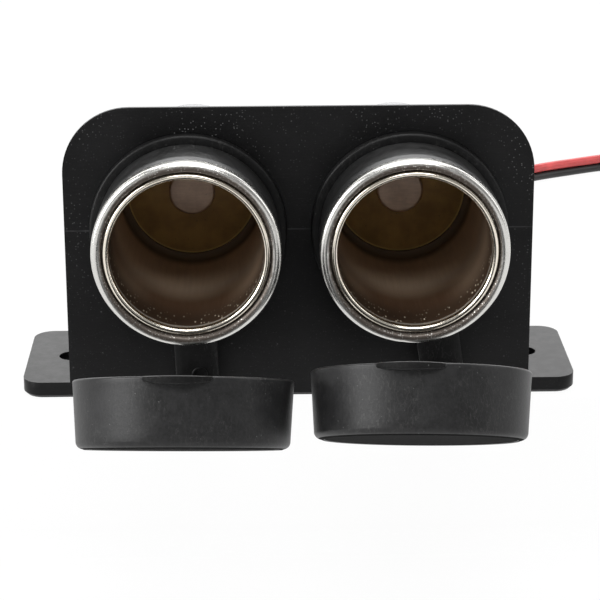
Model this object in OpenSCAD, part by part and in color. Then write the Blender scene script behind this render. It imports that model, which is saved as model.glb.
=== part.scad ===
// Twin 12 V accessory socket on a screw-down bracket, with two hinged dust caps and a red and black lead.
// The origin is the middle of the base's underside, midway between the two screw holes.
// X runs along the panel, Y from the front to the back, and Z up. Depths are measured back from the
// panel's front face, so a piece in front of the panel has a negative depth.

/* [Socket] */
// Bore of the barrel that takes the plug
bore_d = 21.6; // [20.8:0.1:22.4]
// Wall of the barrel
barrel_t = 0.6; // [0.4:0.05:0.8]
// Depth of the barrel's floor behind the panel face
barrel_depth = 20.2; // [17:0.2:26]
// Reach of the mouth in front of the panel face
mouth_reach = 13.1; // [11:0.1:16]
// Radius of the barrel's floor corner, inside
floor_r = 1.3; // [0.8:0.1:2]
// Wall of the sleeve's threaded part
thread_t = 1.1; // [0.8:0.05:1.6]
// Step from the thread up to the collar in front of the panel
collar_step = 0.6; // [0.4:0.05:1]
// Depth of the sleeve's rear end
sleeve_end = 14; // [11:0.5:16]
// Width of the chrome bead, across the mouth's edge
bead_w = 1.45; // [1:0.05:2]
// Step from the collar out to the chrome bead
bead_step = 0.1; // [0.05:0.05:0.3]
// Wall of the ring nut outside the thread
nut_rim = 2.8; // [2:0.1:4]
// Thickness of the ring nut
nut_t = 5; // [3:0.5:7]

/* [Bracket] */
// Gap between the two ring nuts
nut_gap = 0.8; // [0.4:0.1:6]
// Height of the socket axes above the base's underside
socket_z = 25.8; // [23:0.2:36]
// Panel beside each socket axis
panel_side = 17.9; // [16.5:0.1:26]
// Panel above the socket axes
panel_top = 18; // [16.5:0.1:26]
// Radius of the panel's top corners
panel_r = 9.7; // [5:0.1:12]
// Thickness of the panel
panel_t = 2; // [1.6:0.1:3]
// Slope on the panel's rear edge
panel_edge = 1.5; // [0.5:0.1:1.5]
// Length of each ear beside the panel
ear = 7.1; // [6:0.1:14]
// Depth of the base, front to back
base_d = 23.2; // [18:0.2:32]
// Thickness of the base
base_t = 2.5; // [2:0.1:4]
// Radius of the base's corners, seen from above
base_r = 3; // [1.5:0.1:5]
// Slope on the base's lower edge
base_edge = 0.5; // [0.2:0.05:0.8]
// Diameter of the screw holes
hole_d = 4; // [3:0.1:5]
// Distance of the screw holes outside the panel's edges
hole_out = 0.5; // [0:0.1:2]
// Thickness of the gussets behind the panel
gusset_t = 2; // [1.2:0.1:3]
// Height of the gussets
gusset_h = 11; // [8:0.5:12]

/* [Caps] */
// Outside diameter of a cap at its mouth
cap_d = 29.5; // [29:0.1:31]
// Wall of a cap at its mouth
cap_t = 0.8; // [0.6:0.05:1]
// Depth of a cap, outside
cap_depth = 9.1; // [8.8:0.1:11]
// Thickness of a cap's closed face
cap_floor = 0.9; // [0.7:0.05:1.4]
// Draft of a cap's outer wall, over its depth
cap_draft = 0.5; // [0.2:0.05:0.7]
// Radius of the edge round a cap's closed face
cap_edge = 1; // [0.5:0.1:1.6]
// Reach of the finger lip beyond a cap's wall
lip_reach = 1.8; // [1:0.1:3]
// Thickness of the finger lip
lip_t = 1.1; // [0.8:0.1:1.8]
// Width of the ring that holds a cap's strap, round the collar
ring_w = 1.45; // [1.2:0.05:1.6]
// Thickness of that ring
ring_t = 1.6; // [1:0.1:2.2]
// Width of a strap
strap_w = 6.3; // [4:0.1:7]
// Thickness of a strap
strap_t = 1.2; // [0.8:0.05:1.4]
// Inner radius of a strap's bend above the base
bend_r = 2; // [1.6:0.1:2.4]
// Distance of the cap hinges in front of the panel
hinge_out = 7.9; // [6.5:0.1:9]
// Height of the cap hinges
hinge_z = 1.3; // [0.9:0.1:2.5]
// Angle by which the left cap hangs open
left_open = 67; // [40:1:110]
// Angle by which the right cap hangs open
right_open = 65; // [40:1:110]

/* [Rear] */
// Thickness of the insulating disc
disc_t = 1.6; // [1:0.1:2.5]
// Diameter of the centre contact's head
contact_d = 7; // [5:0.1:9]
// Height of the centre contact's head
contact_t = 1; // [0.6:0.1:1.6]
// Diameter of the rear can
can_d = 19; // [16:0.1:21]
// Length of the rear can behind the disc
can_l = 16.8; // [10:0.2:20]
// Sheet thickness of the rear can and the terminal blades
sheet_t = 0.6; // [0.4:0.1:0.8]
// Diameter of the centre stud
stud_d = 3; // [2.5:0.1:4]
// Width of the terminal blades
blade_w = 6.3; // [4.8:0.1:7]
// Length of the terminal blades
blade_l = 8; // [6:0.5:10]
// Length of the insulated connectors on the blades
plug_l = 13; // [11:0.5:16]

/* [Lead] */
// Outside diameter of each lead
wire_d = 1.7; // [1.2:0.1:2]
// Length of the tinned end of each lead
tip_l = 6; // [4:0.5:10]

/* [Hidden] */
$fn = 96;

// Colours of the real finishes
black_plastic = "#1b1b1c";
soft_plastic = "#2c2c2d";
chrome = "#d4d3cf";
dull_nickel = "#8a7560";
phenolic = "#6b5126";
brass = "#b99a55";
red_cover = "#b3231c";
black_cover = "#161616";
tin = "#b8b8b4";

// Clearances and small overlaps
fit_gap = 0.1;
hole_gap = 0.15;
cap_gap = 0.2;
knuckle_gap = 0.35;
over = 1;

// Radii of the socket, from the bore outwards
bore_r = bore_d / 2;
barrel_r = bore_r + barrel_t;
sleeve_in = barrel_r + fit_gap;
thread_r = sleeve_in + thread_t;
collar_r = thread_r + collar_step;
bead_r = collar_r + bead_step;
bead_in = bead_r - bead_w;
barrel_lip_r = bead_in - hole_gap;
hole_r = thread_r + hole_gap;
nut_r = thread_r + fit_gap + nut_rim;
ring_r = hole_r + ring_w;

// Depths of the socket's front
bead_round = bead_w / 2;
foot_t = 0.6;
foot_front = -mouth_reach + bead_round + 0.6;
collar_front = foot_front + foot_t;
shoulder_l = 2;
shoulder_h = 0.35;
waist = 4.6;
waist_h = 0.2;
lip_round = (barrel_lip_r - bore_r) / 2;
lip_set_back = 0.15;

// Places of the two sockets and the bracket's outline
socket_s = 2 * nut_r + nut_gap;
socket_x = socket_s / 2;
front = -base_d / 2;
panel_w = socket_s + 2 * panel_side;
panel_h = socket_z + panel_top;
base_w = panel_w + 2 * ear;
hole_x = panel_w / 2 + hole_out;
gusset_x = panel_w / 2 - 5.8;

// Rear stack, as depths
disc_front = barrel_depth + barrel_t;
disc_back = disc_front + disc_t;
can_back = disc_back + can_l;
skirt_front = disc_front - 3.3;
contact_face = disc_front - contact_t;
can_r = can_d / 2;
bush_r = 2.9;
bush_flange_r = 4.2;
flange_t = 0.8;
blade_t = 0.8;
eye_r = 3.4;
tab_front = can_back + flange_t;
nut_height = 2.4;
stud_end = tab_front + blade_t + nut_height + 1;
live_drop = 5.9;
ground_side = 6.1;
plug_start = tab_front + blade_t + 1.4;
plug_end = plug_start + plug_l;
plug_w = blade_w + 1.5;
plug_h = 3.2;
pair_offset = 1.6;

// Cap, as radii and depths of the closed cap
cap_r = cap_d / 2;
cap_in = cap_r - cap_t;
cap_in_floor = cap_in - 0.25;
cap_front = -mouth_reach - cap_gap - cap_floor;
cap_mouth = cap_front + cap_depth;
lip_circle_r = 5.4;
lug_set_back = 1.1;

// Left and right: side steps of the straps from the socket axis, at the ring, at the bend and at the
// cap, then the turn of the finger lips and the tilt of the hinges
strap_top_step = [0.5, 3.7];
strap_low_step = [0.9, 5.1];
cap_step = [0.9, 1.3];
cap_turn = [-1, -8.5];
hinge_tilt = [0.8, 1.4];
bend_z = hinge_z + bend_r + strap_t / 2;
strap_front = -hinge_out + strap_t / 2 + knuckle_gap;
mark_r = 1.17;
mark_in = 0.75;
mark_step = 0.33;
mark_z = 3.9;
mark_t = 0.2;
open_angle = [left_open, right_open];

// Leads: chosen points along each route, by hand. The jumpers' bends go by the wire's thickness.
wire_r = wire_d / 2;
wire_sides = 8;
ring_step = 4.8;
live_z = socket_z - live_drop;
plug_y = front + plug_end;
exit_y = plug_y + 2.4 * wire_d;
turn_y = plug_y + 5 * wire_d;
far_y = plug_y + 6.4 * wire_d;
red_jumper_route = [
    [-socket_x, plug_y, live_z], [-socket_x, exit_y, live_z],
    [-0.75 * socket_x, turn_y, live_z - 0.8 * wire_d], [0, far_y, live_z - 1.4 * wire_d],
    [0.66 * socket_x, turn_y, live_z - 0.8 * wire_d],
    [socket_x - pair_offset, exit_y, live_z], [socket_x - pair_offset, plug_y, live_z]
];
black_jumper_route = [
    [-socket_x + ground_side, plug_y, socket_z], [-socket_x + ground_side, exit_y, socket_z],
    [-0.38 * socket_x, turn_y, socket_z - 0.5 * wire_d], [0.38 * socket_x, far_y, socket_z - 1.05 * wire_d],
    [1.1 * socket_x, turn_y, socket_z - 1.05 * wire_d],
    [socket_x + ground_side, exit_y, socket_z - pair_offset],
    [socket_x + ground_side, plug_y, socket_z - pair_offset]
];
red_route = [
    [socket_x + pair_offset, plug_y, live_z], [socket_x + pair_offset, plug_y + 5, live_z],
    [18.5, 56, 16.5], [21.5, 68, 11.5], [26, 80, 6.5], [32.5, 91, 3.4], [40, 100.2, 2.55],
    [50, 107.4, 2.55], [57, 111.1, 2.55], [64, 114.4, 2.55], [73, 117.4, 2.55], [81, 115.6, 2.55],
    [85, 108, 2.55], [84, 98, 2.55], [81, 88, 2.55], [80, 78, 2.55], [82, 68, 2.55]
];
black_route = [
    [socket_x + ground_side, plug_y, socket_z + pair_offset],
    [socket_x + ground_side, plug_y + 5, socket_z + pair_offset],
    [24.5, 56, 21], [28, 66, 13], [31, 76, 6], [34, 86, 1.6], [38.5, 95.5, 0.85],
    [43.5, 102.8, 0.85], [50, 107.4, 0.85], [57, 111.1, 0.85], [64, 114.4, 0.85], [73, 117.4, 0.85],
    [81, 115.6, 0.85], [85, 108, 0.85], [84, 98, 0.85], [81, 88, 0.85], [80, 78, 0.85], [82, 68, 0.85]
];

// Points of an arc about [x, y], from angle a to angle b in n steps
function arc(x, y, r, a, b, n) = [
    for (i = [0 : n]) let (t = a + (b - a) * i / n) [x + r * cos(t), y + r * sin(t)]
];

// Places a shape on a socket's axis: its Z becomes the depth behind the panel face
module on_axis(side) {
    translate([side * socket_x, front, socket_z])
        rotate([-90, 0, 0])
            children();
}

// A plain tube along a socket's axis
module tube(outer, inner, from, to) {
    translate([0, 0, from])
        difference() {
            cylinder(r = outer, h = to - from);
            translate([0, 0, -over]) cylinder(r = inner, h = to - from + 2 * over);
        }
}

// Outline of a plate with four round corners
module rounded_outline(w, h, r) {
    square([w - 2 * r, h], center = true);
    square([w, h - 2 * r], center = true);
    for (x = [-1, 1], y = [-1, 1])
        translate([x * (w / 2 - r), y * (h / 2 - r)]) circle(r = r);
}

// A flat plate with round corners and one sloped edge, all round its upper face
module rounded_plate(w, h, r, t, slope) {
    difference() {
        linear_extrude(t) rounded_outline(w, h, r);
        for (s = [-1, 1]) {
            translate([0, s * (h / 2 - r), 0]) rotate([0, 0, 90 * (s - 1)])
                rotate([90, 0, 90]) translate([0, 0, -w / 2]) linear_extrude(w) edge_wedge(r, t, slope);
            translate([s * (w / 2 - r), 0, 0]) rotate([0, 0, -90 + 90 * (s - 1)])
                rotate([90, 0, 90]) translate([0, 0, -h / 2]) linear_extrude(h) edge_wedge(r, t, slope);
        }
        for (x = [-1, 1], y = [-1, 1])
            translate([x * (w / 2 - r), y * (h / 2 - r), 0])
                rotate([0, 0, x > 0 ? (y > 0 ? 0 : -90) : (y > 0 ? 90 : 180)])
                    rotate_extrude(angle = 90) edge_wedge(r, t, slope);
    }
}

// Section of what a sloped edge takes off, outside radius r and below height t
module edge_wedge(r, t, slope) {
    polygon([[r - slope - over, t + over], [r + over, t - slope - over], [r + over, t + over]]);
}

// Moulded L-shaped bracket: base with two ears, upright panel, three gussets
module bracket() {
    color(black_plastic)
    difference() {
        union() {
            translate([0, 0, base_t]) rotate([180, 0, 0])
                rounded_plate(base_w, base_d, base_r, base_t, base_edge);
            intersection() {
                translate([0, front, panel_h / 2 - panel_r]) rotate([-90, 0, 0])
                    rounded_plate(panel_w, panel_h + 2 * panel_r, panel_r, panel_t, panel_edge);
                translate([-panel_w, front - over, base_edge]) cube([2 * panel_w, base_d, 2 * panel_h]);
            }
            for (x = [-gusset_x, 0, gusset_x]) gusset(x);
        }
        for (x = [-hole_x, hole_x])
            translate([x, 0, -over]) cylinder(d = hole_d, h = base_t + 2 * over);
        for (side = [-1, 1]) on_axis(side)
            translate([0, 0, -over]) cylinder(r = hole_r, h = panel_t + 2 * over);
    }
}

// One upright web between the base and the panel's back
module gusset(x) {
    run = base_d - panel_t - 4;
    translate([x - gusset_t / 2, front + panel_t, base_t])
        rotate([90, 0, 90])
            linear_extrude(gusset_t)
                polygon([[-panel_t / 2, -base_t / 2], [run, -base_t / 2], [run, 0], [0, gusset_h],
                    [-panel_t / 2, gusset_h]]);
}

// Black insulating sleeve: collar in front of the panel, thread behind it
module sleeve(side) {
    color(black_plastic) on_axis(side) rotate_extrude()
        polygon([
            [sleeve_in, collar_front], [collar_r - shoulder_h, collar_front],
            [collar_r, collar_front + shoulder_l], [collar_r, -ring_t - waist],
            [collar_r - waist_h, -ring_t - waist + waist_h], [collar_r - waist_h, -ring_t],
            [thread_r, -ring_t], [thread_r, sleeve_end - 0.5], [thread_r - 0.5, sleeve_end],
            [sleeve_in, sleeve_end]
        ]);
}

// Chrome bead round the mouth, with a foot that the barrel's lip holds down
module bezel(side) {
    middle = (bead_r + bead_in) / 2;
    color(chrome) on_axis(side) rotate_extrude()
        polygon(concat(
            [[sleeve_in, foot_front], [bead_in, foot_front]],
            arc(middle, -mouth_reach + bead_round, bead_round, 180, 360, 12),
            [[bead_r, collar_front], [sleeve_in, collar_front]]
        ));
}

// Deep-drawn nickel barrel: rolled lip in front, rounded floor corner and a hole for the disc
module barrel(side) {
    lip_front = -mouth_reach + lip_set_back;
    middle = bore_r + lip_round;
    color(dull_nickel) on_axis(side) rotate_extrude()
        polygon(concat(
            arc(middle, lip_front + lip_round, lip_round, 180, 360, 10),
            [[barrel_lip_r, foot_front], [barrel_r, foot_front]],
            arc(bore_r - floor_r, barrel_depth - floor_r, floor_r + barrel_t, 0, 90, 8),
            [[bore_r - floor_r, barrel_depth]],
            arc(bore_r - floor_r, barrel_depth - floor_r, floor_r, 90, 0, 8)
        ));
}

// Brown phenolic disc that keeps the centre contact off the barrel
module insulator(side) {
    color(phenolic) on_axis(side) tube(barrel_r - fit_gap, stud_d / 2 + fit_gap, disc_front, disc_back);
}

// Centre contact: broad flat head with a softened edge, and a stud to the back
module contact(side) {
    color(tin) on_axis(side) rotate_extrude()
        polygon([
            [0, contact_face], [contact_d / 2 - 0.25, contact_face], [contact_d / 2, contact_face + 0.25],
            [contact_d / 2, disc_front], [stud_d / 2, disc_front], [stud_d / 2, stud_end - 0.3],
            [stud_d / 2 - 0.3, stud_end], [0, stud_end]
        ]);
}

// Black ring nut with grip notches, which clamps the socket to the panel
module ring_nut(side) {
    color(black_plastic) on_axis(side)
    difference() {
        rotate_extrude()
            polygon([
                [thread_r + fit_gap, panel_t], [nut_r, panel_t], [nut_r, panel_t + nut_t - 0.8],
                [nut_r - 0.8, panel_t + nut_t], [thread_r + fit_gap, panel_t + nut_t]
            ]);
        for (i = [0 : 17]) rotate([0, 0, i * 20 + 10])
            translate([nut_r + 0.25, 0, panel_t + 1]) cylinder(r = 0.9, h = nut_t + over, $fn = 24);
    }
}

// Nickel can over the barrel's end: a skirt, a shoulder behind the disc, and a deep cup
module rear_can(side) {
    skirt_in = barrel_r + fit_gap;
    skirt_out = skirt_in + sheet_t;
    corner = 1.2;
    color(chrome) on_axis(side) rotate_extrude()
        polygon(concat(
            [[skirt_in, skirt_front], [skirt_out, skirt_front], [skirt_out, disc_back + sheet_t - 0.4],
                [skirt_out - 0.4, disc_back + sheet_t], [can_r, disc_back + sheet_t]],
            arc(can_r - corner, can_back - corner, corner, 0, 90, 6),
            [[bush_r + fit_gap, can_back], [bush_r + fit_gap, can_back - sheet_t]],
            arc(can_r - corner, can_back - corner, corner - sheet_t, 90, 0, 4),
            [[can_r - sheet_t, disc_back], [skirt_in, disc_back]]
        ));
}

// Flanged bush that keeps the stud off the can
module bush(side) {
    color(black_plastic) on_axis(side) rotate_extrude()
        polygon([
            [stud_d / 2 + fit_gap, can_back - 1.6], [bush_r, can_back - 1.6], [bush_r, can_back],
            [bush_flange_r, can_back], [bush_flange_r, tab_front], [stud_d / 2 + fit_gap, tab_front]
        ]);
}

// Live terminal: an eye on the stud and a blade that turns to the back below it
module live_tab(side) {
    color(brass) on_axis(side) {
        difference() {
            translate([0, 0, tab_front]) union() {
                cylinder(r = eye_r, h = blade_t);
                translate([-blade_w / 2, 0, 0]) cube([blade_w, live_drop + blade_t / 2, blade_t]);
            }
            translate([0, 0, can_back]) cylinder(r = stud_d / 2 + fit_gap, h = 4);
        }
        translate([-blade_w / 2, live_drop - blade_t / 2, tab_front])
            cube([blade_w, blade_t, blade_t + blade_l]);
    }
}

// Ground terminal: a foot on the can's end and a blade that turns to the back beside the bush
module ground_tab(side) {
    foot_in = bush_flange_r + 0.3;
    color(brass) on_axis(side) {
        translate([foot_in, -blade_w / 2, can_back])
            cube([ground_side + blade_t / 2 - foot_in, blade_w, blade_t]);
        translate([ground_side - blade_t / 2, -blade_w / 2, can_back])
            cube([blade_t, blade_w, flange_t + blade_t + blade_l]);
    }
}

// Hexagon nut on the stud, over the live terminal's eye
module stud_nut(side) {
    color(tin) on_axis(side) translate([0, 0, tab_front + blade_t])
        difference() {
            cylinder(r = 3, h = nut_height, $fn = 6);
            translate([0, 0, -over]) cylinder(r = stud_d / 2 + fit_gap, h = nut_height + 2 * over);
        }
}

// Insulated push-on connector, with a slot that fits its blade; Y is its flat side
module connector(reach) {
    translate([0, 0, plug_start])
        difference() {
            linear_extrude(plug_l) rounded_outline(plug_w, plug_h, 1.2);
            translate([-blade_w / 2 - fit_gap, -blade_t / 2 - fit_gap, -over])
                cube([blade_w + 2 * fit_gap, blade_t + 2 * fit_gap, over + reach - plug_start + 0.4]);
        }
}

// Connector on the live blade
module live_connector(side) {
    color(red_cover) on_axis(side) translate([0, live_drop, 0]) connector(tab_front + blade_t + blade_l);
}

// Connector on the ground blade
module ground_connector(side) {
    color(black_cover) on_axis(side) translate([ground_side, 0, 0]) rotate([0, 0, 90])
        connector(tab_front + blade_t + blade_l);
}

// Ring that the collar clamps to the panel, with the strap that comes forward to the cap's hinge
module cap_ring(side) {
    i = side < 0 ? 0 : 1;
    top = strap_top_step[i];
    low = strap_low_step[i];
    color(soft_plastic) {
        on_axis(side) difference() {
            union() {
                tube(ring_r, hole_r - 1, -ring_t, 0);
                translate([0, 0, -strap_t]) linear_extrude(strap_t)
                    polygon([
                        [top - strap_w / 2, collar_r - 0.8], [top + strap_w / 2, collar_r - 0.8],
                        [low + strap_w / 2, socket_z - bend_z], [low - strap_w / 2, socket_z - bend_z]
                    ]);
            }
            translate([0, 0, -ring_t - over]) cylinder(r = hole_r, h = ring_t + 2 * over);
        }
        translate([side * socket_x + low - strap_w / 2, front, 0]) {
            translate([0, -strap_t - bend_r, bend_z]) rotate([90, 0, 90]) rotate([0, 0, -90])
                rotate_extrude(angle = 90) translate([bend_r, 0]) square([strap_t, strap_w]);
            translate([0, strap_front, hinge_z - strap_t / 2])
                cube([strap_w, -strap_t - bend_r - strap_front, strap_t]);
        }
        translate([side * socket_x + low + mark_step, front - strap_t - mark_t, mark_z])
            rotate([-90, 0, 0]) difference() {
                cylinder(r = mark_r, h = mark_t + strap_t / 2);
                translate([0, 0, -over]) cylinder(r = mark_in, h = mark_t + over);
            }
    }
}

// Dust cap: a drafted cup with a finger lip, and a lug down to the hinge. It is shaped closed and
// then swung open about the hinge.
module cap(side) {
    i = side < 0 ? 0 : 1;
    lean = atan2(cap_mouth - lug_set_back + hinge_out, socket_z - cap_r - hinge_z);
    rise = (socket_z - cap_r + 2 - hinge_z) / cos(lean);
    edge_middle = cap_r - cap_draft - cap_edge;
    color(soft_plastic)
    translate([side * socket_x, front - hinge_out, hinge_z])
        rotate(open_angle[i], v = [cos(hinge_tilt[i]), 0, -sin(hinge_tilt[i])])
            translate([0, hinge_out, -hinge_z])
                difference() {
                    union() {
                        translate([0, 0, socket_z]) rotate([-90, 0, 0]) {
                            rotate_extrude() polygon(concat(
                                [[0, cap_front]],
                                arc(edge_middle, cap_front + cap_edge, cap_edge, 270, 360, 6),
                                [[cap_r, cap_mouth], [0, cap_mouth]]
                            ));
                            rotate([0, 0, cap_turn[i]]) translate([0, lip_reach + cap_r - lip_circle_r, 0])
                                finger_lip();
                        }
                        lug(i, lean, rise);
                    }
                    translate([0, 0, socket_z]) rotate([-90, 0, 0]) rotate_extrude()
                        polygon([
                            [0, cap_front + cap_floor], [cap_in_floor - 0.5, cap_front + cap_floor],
                            [cap_in_floor, cap_front + cap_floor + 0.5], [cap_in, cap_mouth],
                            [cap_in, cap_mouth + 3], [0, cap_mouth + 3]
                        ]);
                }
}

// Crescent lip at the cap's mouth, on the side away from the hinge
module finger_lip() {
    translate([0, -2 * (lip_reach + cap_r - lip_circle_r), cap_mouth - lip_t])
        cylinder(r = lip_circle_r, h = lip_t);
}

// Lug from the hinge up to the closed cap's mouth, with a round end at the hinge
module lug(i, lean, rise) {
    low = strap_low_step[i];
    high = cap_step[i];
    translate([0, -hinge_out, hinge_z]) {
        translate([low - strap_w / 2, 0, 0]) rotate([0, 90, 0]) cylinder(r = strap_t / 2, h = strap_w);
        rotate([-lean, 0, 0]) translate([0, strap_t / 2, 0]) rotate([90, 0, 0]) linear_extrude(strap_t)
            polygon([
                [low - strap_w / 2, 0], [low + strap_w / 2, 0],
                [high + strap_w / 2, rise], [high - strap_w / 2, rise]
            ]);
    }
}

// Point on a smooth curve through four points, at t from 0 to 1 between the middle two
function smooth(a, b, c, d, t) = 0.5 * (
    2 * b + (c - a) * t + (2 * a - 5 * b + 4 * c - d) * t * t + (3 * b - a - 3 * c + d) * t * t * t
);

// A route's points, filled in so that they lie about one ring step apart
function filled(route) = let (n = len(route) - 1) concat(
    [for (i = [0 : n - 1]) let (
        a = route[max(i - 1, 0)], b = route[i], c = route[i + 1], d = route[min(i + 2, n)],
        steps = max(1, round(norm(c - b) / ring_step))
    ) for (k = [0 : steps - 1]) smooth(a, b, c, d, k / steps)],
    [route[n]]
);

// Unit direction of the path at point i
function heading(path, i) = let (
    step = path[min(i + 1, len(path) - 1)] - path[max(i - 1, 0)]
) step / norm(step);

// Ring of points round point i of a path
function wire_ring(path, i) = let (
    along = heading(path, i),
    side = cross(along, [0, 0, 1]) / norm(cross(along, [0, 0, 1])),
    up = cross(side, along)
) [
    for (k = [0 : wire_sides - 1]) let (t = 360 * k / wire_sides)
        path[i] + wire_r * (side * cos(t) + up * sin(t))
];

// A round wire swept along a route
module wire(route) {
    path = filled(route);
    last = len(path) - 1;
    points = [for (i = [0 : last]) each wire_ring(path, i)];
    walls = [for (i = [0 : last - 1], k = [0 : wire_sides - 1]) let (n = (k + 1) % wire_sides) [
        i * wire_sides + k, i * wire_sides + n, (i + 1) * wire_sides + n, (i + 1) * wire_sides + k
    ]];
    first_end = [[for (k = [0 : wire_sides - 1]) wire_sides - 1 - k]];
    last_end = [[for (k = [0 : wire_sides - 1]) last * wire_sides + k]];
    polyhedron(points = points, faces = concat(walls, first_end, last_end), convexity = 8);
}

// Tinned copper at the end of a route
module wire_tip(route) {
    n = len(route) - 1;
    along = route[n] - route[n - 1];
    color(tin) translate(route[n]) rotate([-90, 0, atan2(-along[0], along[1])])
        cylinder(r = 0.6, h = tip_l, $fn = 24);
}

bracket();
sleeve(-1);  // left_sleeve
bezel(-1);  // left_bezel
barrel(-1);  // left_barrel
insulator(-1);  // left_insulator
contact(-1);  // left_contact
ring_nut(-1);  // left_ring_nut
rear_can(-1);  // left_rear_can
bush(-1);  // left_bush
live_tab(-1);  // left_live_tab
ground_tab(-1);  // left_ground_tab
stud_nut(-1);  // left_stud_nut
live_connector(-1);  // left_live_connector
ground_connector(-1);  // left_ground_connector
cap_ring(-1);  // left_cap_ring
cap(-1);  // left_cap
sleeve(1);  // right_sleeve
bezel(1);  // right_bezel
barrel(1);  // right_barrel
insulator(1);  // right_insulator
contact(1);  // right_contact
ring_nut(1);  // right_ring_nut
rear_can(1);  // right_rear_can
bush(1);  // right_bush
live_tab(1);  // right_live_tab
ground_tab(1);  // right_ground_tab
stud_nut(1);  // right_stud_nut
live_connector(1);  // right_live_connector
ground_connector(1);  // right_ground_connector
cap_ring(1);  // right_cap_ring
cap(1);  // right_cap
color(red_cover) wire(red_jumper_route);  // red_jumper
color(black_cover) wire(black_jumper_route);  // black_jumper
color(red_cover) wire(red_route);  // red_lead
color(black_cover) wire(black_route);  // black_lead
wire_tip(red_route);  // red_lead_tip
wire_tip(black_route);  // black_lead_tip
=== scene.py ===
"""Dresses the twin 12 volt socket: finishes, turned metal, caps on their straps, leads and the studio."""

import logging
import math
from dataclasses import dataclass, field
from enum import Enum
from typing import Callable, Iterable, Mapping, Sequence, Union

import bmesh
import bpy
from mathutils import Matrix, Vector


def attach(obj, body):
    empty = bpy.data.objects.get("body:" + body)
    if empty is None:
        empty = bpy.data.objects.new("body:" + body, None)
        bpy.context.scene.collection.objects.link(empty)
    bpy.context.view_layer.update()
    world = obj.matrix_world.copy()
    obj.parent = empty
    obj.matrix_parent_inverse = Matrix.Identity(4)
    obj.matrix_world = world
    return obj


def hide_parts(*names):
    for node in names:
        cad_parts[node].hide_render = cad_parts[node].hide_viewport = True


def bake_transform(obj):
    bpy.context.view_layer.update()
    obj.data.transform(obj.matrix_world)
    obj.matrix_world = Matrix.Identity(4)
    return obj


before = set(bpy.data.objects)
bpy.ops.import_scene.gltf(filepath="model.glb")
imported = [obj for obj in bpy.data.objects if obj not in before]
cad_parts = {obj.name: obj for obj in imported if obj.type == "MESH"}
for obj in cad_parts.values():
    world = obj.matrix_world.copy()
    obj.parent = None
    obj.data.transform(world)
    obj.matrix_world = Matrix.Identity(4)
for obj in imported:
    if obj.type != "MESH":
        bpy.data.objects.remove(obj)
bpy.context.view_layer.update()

LOG = logging.getLogger("twin_socket")
MM = 0.001

# As in part.scad, in millimetres: the panel's front face, and the two sockets' axes.
PANEL_FACE = -11.6
AXIS_X = 15.9
AXIS_Z = 25.8

Pair = tuple[float, float]
Point = tuple[float, float, float]
Colour = tuple[float, float, float]
Value = Union[float, "Shade"]
Shape = Callable[[float, float, float], float]


class Side(Enum):
    """Which of the two sockets a piece belongs to, by the sign of its X."""

    LEFT = -1
    RIGHT = 1

    @property
    def word(self) -> str:
        """The side's name as the CAD nodes have it."""
        return self.name.lower()

    @property
    def axis_x(self) -> float:
        """X of the socket's axis, in millimetres."""
        return self.value * AXIS_X

    def point(self, radius: float, depth: float, angle: float) -> Vector:
        """A point round the socket's axis, in millimetres.

        Args:
            radius: Its distance from the axis.
            depth: How far it lies behind the panel's front face.
            angle: Its angle from straight up, in radians.

        Returns:
            The point.
        """
        x, z = radius * math.sin(angle), radius * math.cos(angle)
        return Vector((self.axis_x + x, PANEL_FACE + depth, AXIS_Z + z))


class Shade:
    """One value in a material: a node's output that takes part in Python arithmetic."""

    def __init__(self, board: "Board", socket: bpy.types.NodeSocket) -> None:
        """Keeps the output and the board it is on.

        Args:
            board: The board whose tree holds the node.
            socket: The node's output.
        """
        self.board = board
        self.socket = socket

    def output(self, name: str) -> "Shade":
        """Another output of the same node.

        Args:
            name: The output's name.

        Returns:
            That output as a value.
        """
        return Shade(self.board, self.socket.node.outputs[name])

    def math(self, operation: str, *others: Value) -> "Shade":
        """This value through one Math node.

        Args:
            operation: The Math node's operation.
            others: The node's further values.

        Returns:
            The node's result.
        """
        values = dict(enumerate((self, *others)))
        return self.board.node("ShaderNodeMath", {"operation": operation}, values)

    def __add__(self, other: Value) -> "Shade":
        """Sum."""
        return self.math("ADD", other)

    __radd__ = __add__

    def __sub__(self, other: Value) -> "Shade":
        """Difference."""
        return self.math("SUBTRACT", other)

    def __rsub__(self, other: float) -> "Shade":
        """A number less this value."""
        return self.board.node("ShaderNodeMath", {"operation": "SUBTRACT"}, {0: other, 1: self})

    def __mul__(self, other: Value) -> "Shade":
        """Product."""
        return self.math("MULTIPLY", other)

    __rmul__ = __mul__

    def __pow__(self, other: Value) -> "Shade":
        """Power."""
        return self.math("POWER", other)

    def __abs__(self) -> "Shade":
        """Size without sign."""
        return self.math("ABSOLUTE")

    def above(self, limit: Value) -> "Shade":
        """1 where this value is over a limit, and otherwise 0."""
        return self.math("GREATER_THAN", limit)

    def step(self, low: float, high: float) -> "Shade":
        """A smooth step from one number to another.

        Args:
            low: Where the step is 0.
            high: Where the step is 1.

        Returns:
            The step, from 0 to 1.
        """
        settings = {"interpolation_type": "SMOOTHSTEP"}
        values = {"Value": self, "From Min": low, "From Max": high}
        return self.board.node("ShaderNodeMapRange", settings, values)

    def band(self, middle: float, half: float, soft: float) -> "Shade":
        """1 inside a band of this value and 0 outside it.

        Args:
            middle: The band's middle.
            half: Half its width.
            soft: Width of its soft edge.

        Returns:
            The band, from 0 to 1.
        """
        return 1 - abs(self - middle).step(half, half + soft)


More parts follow.
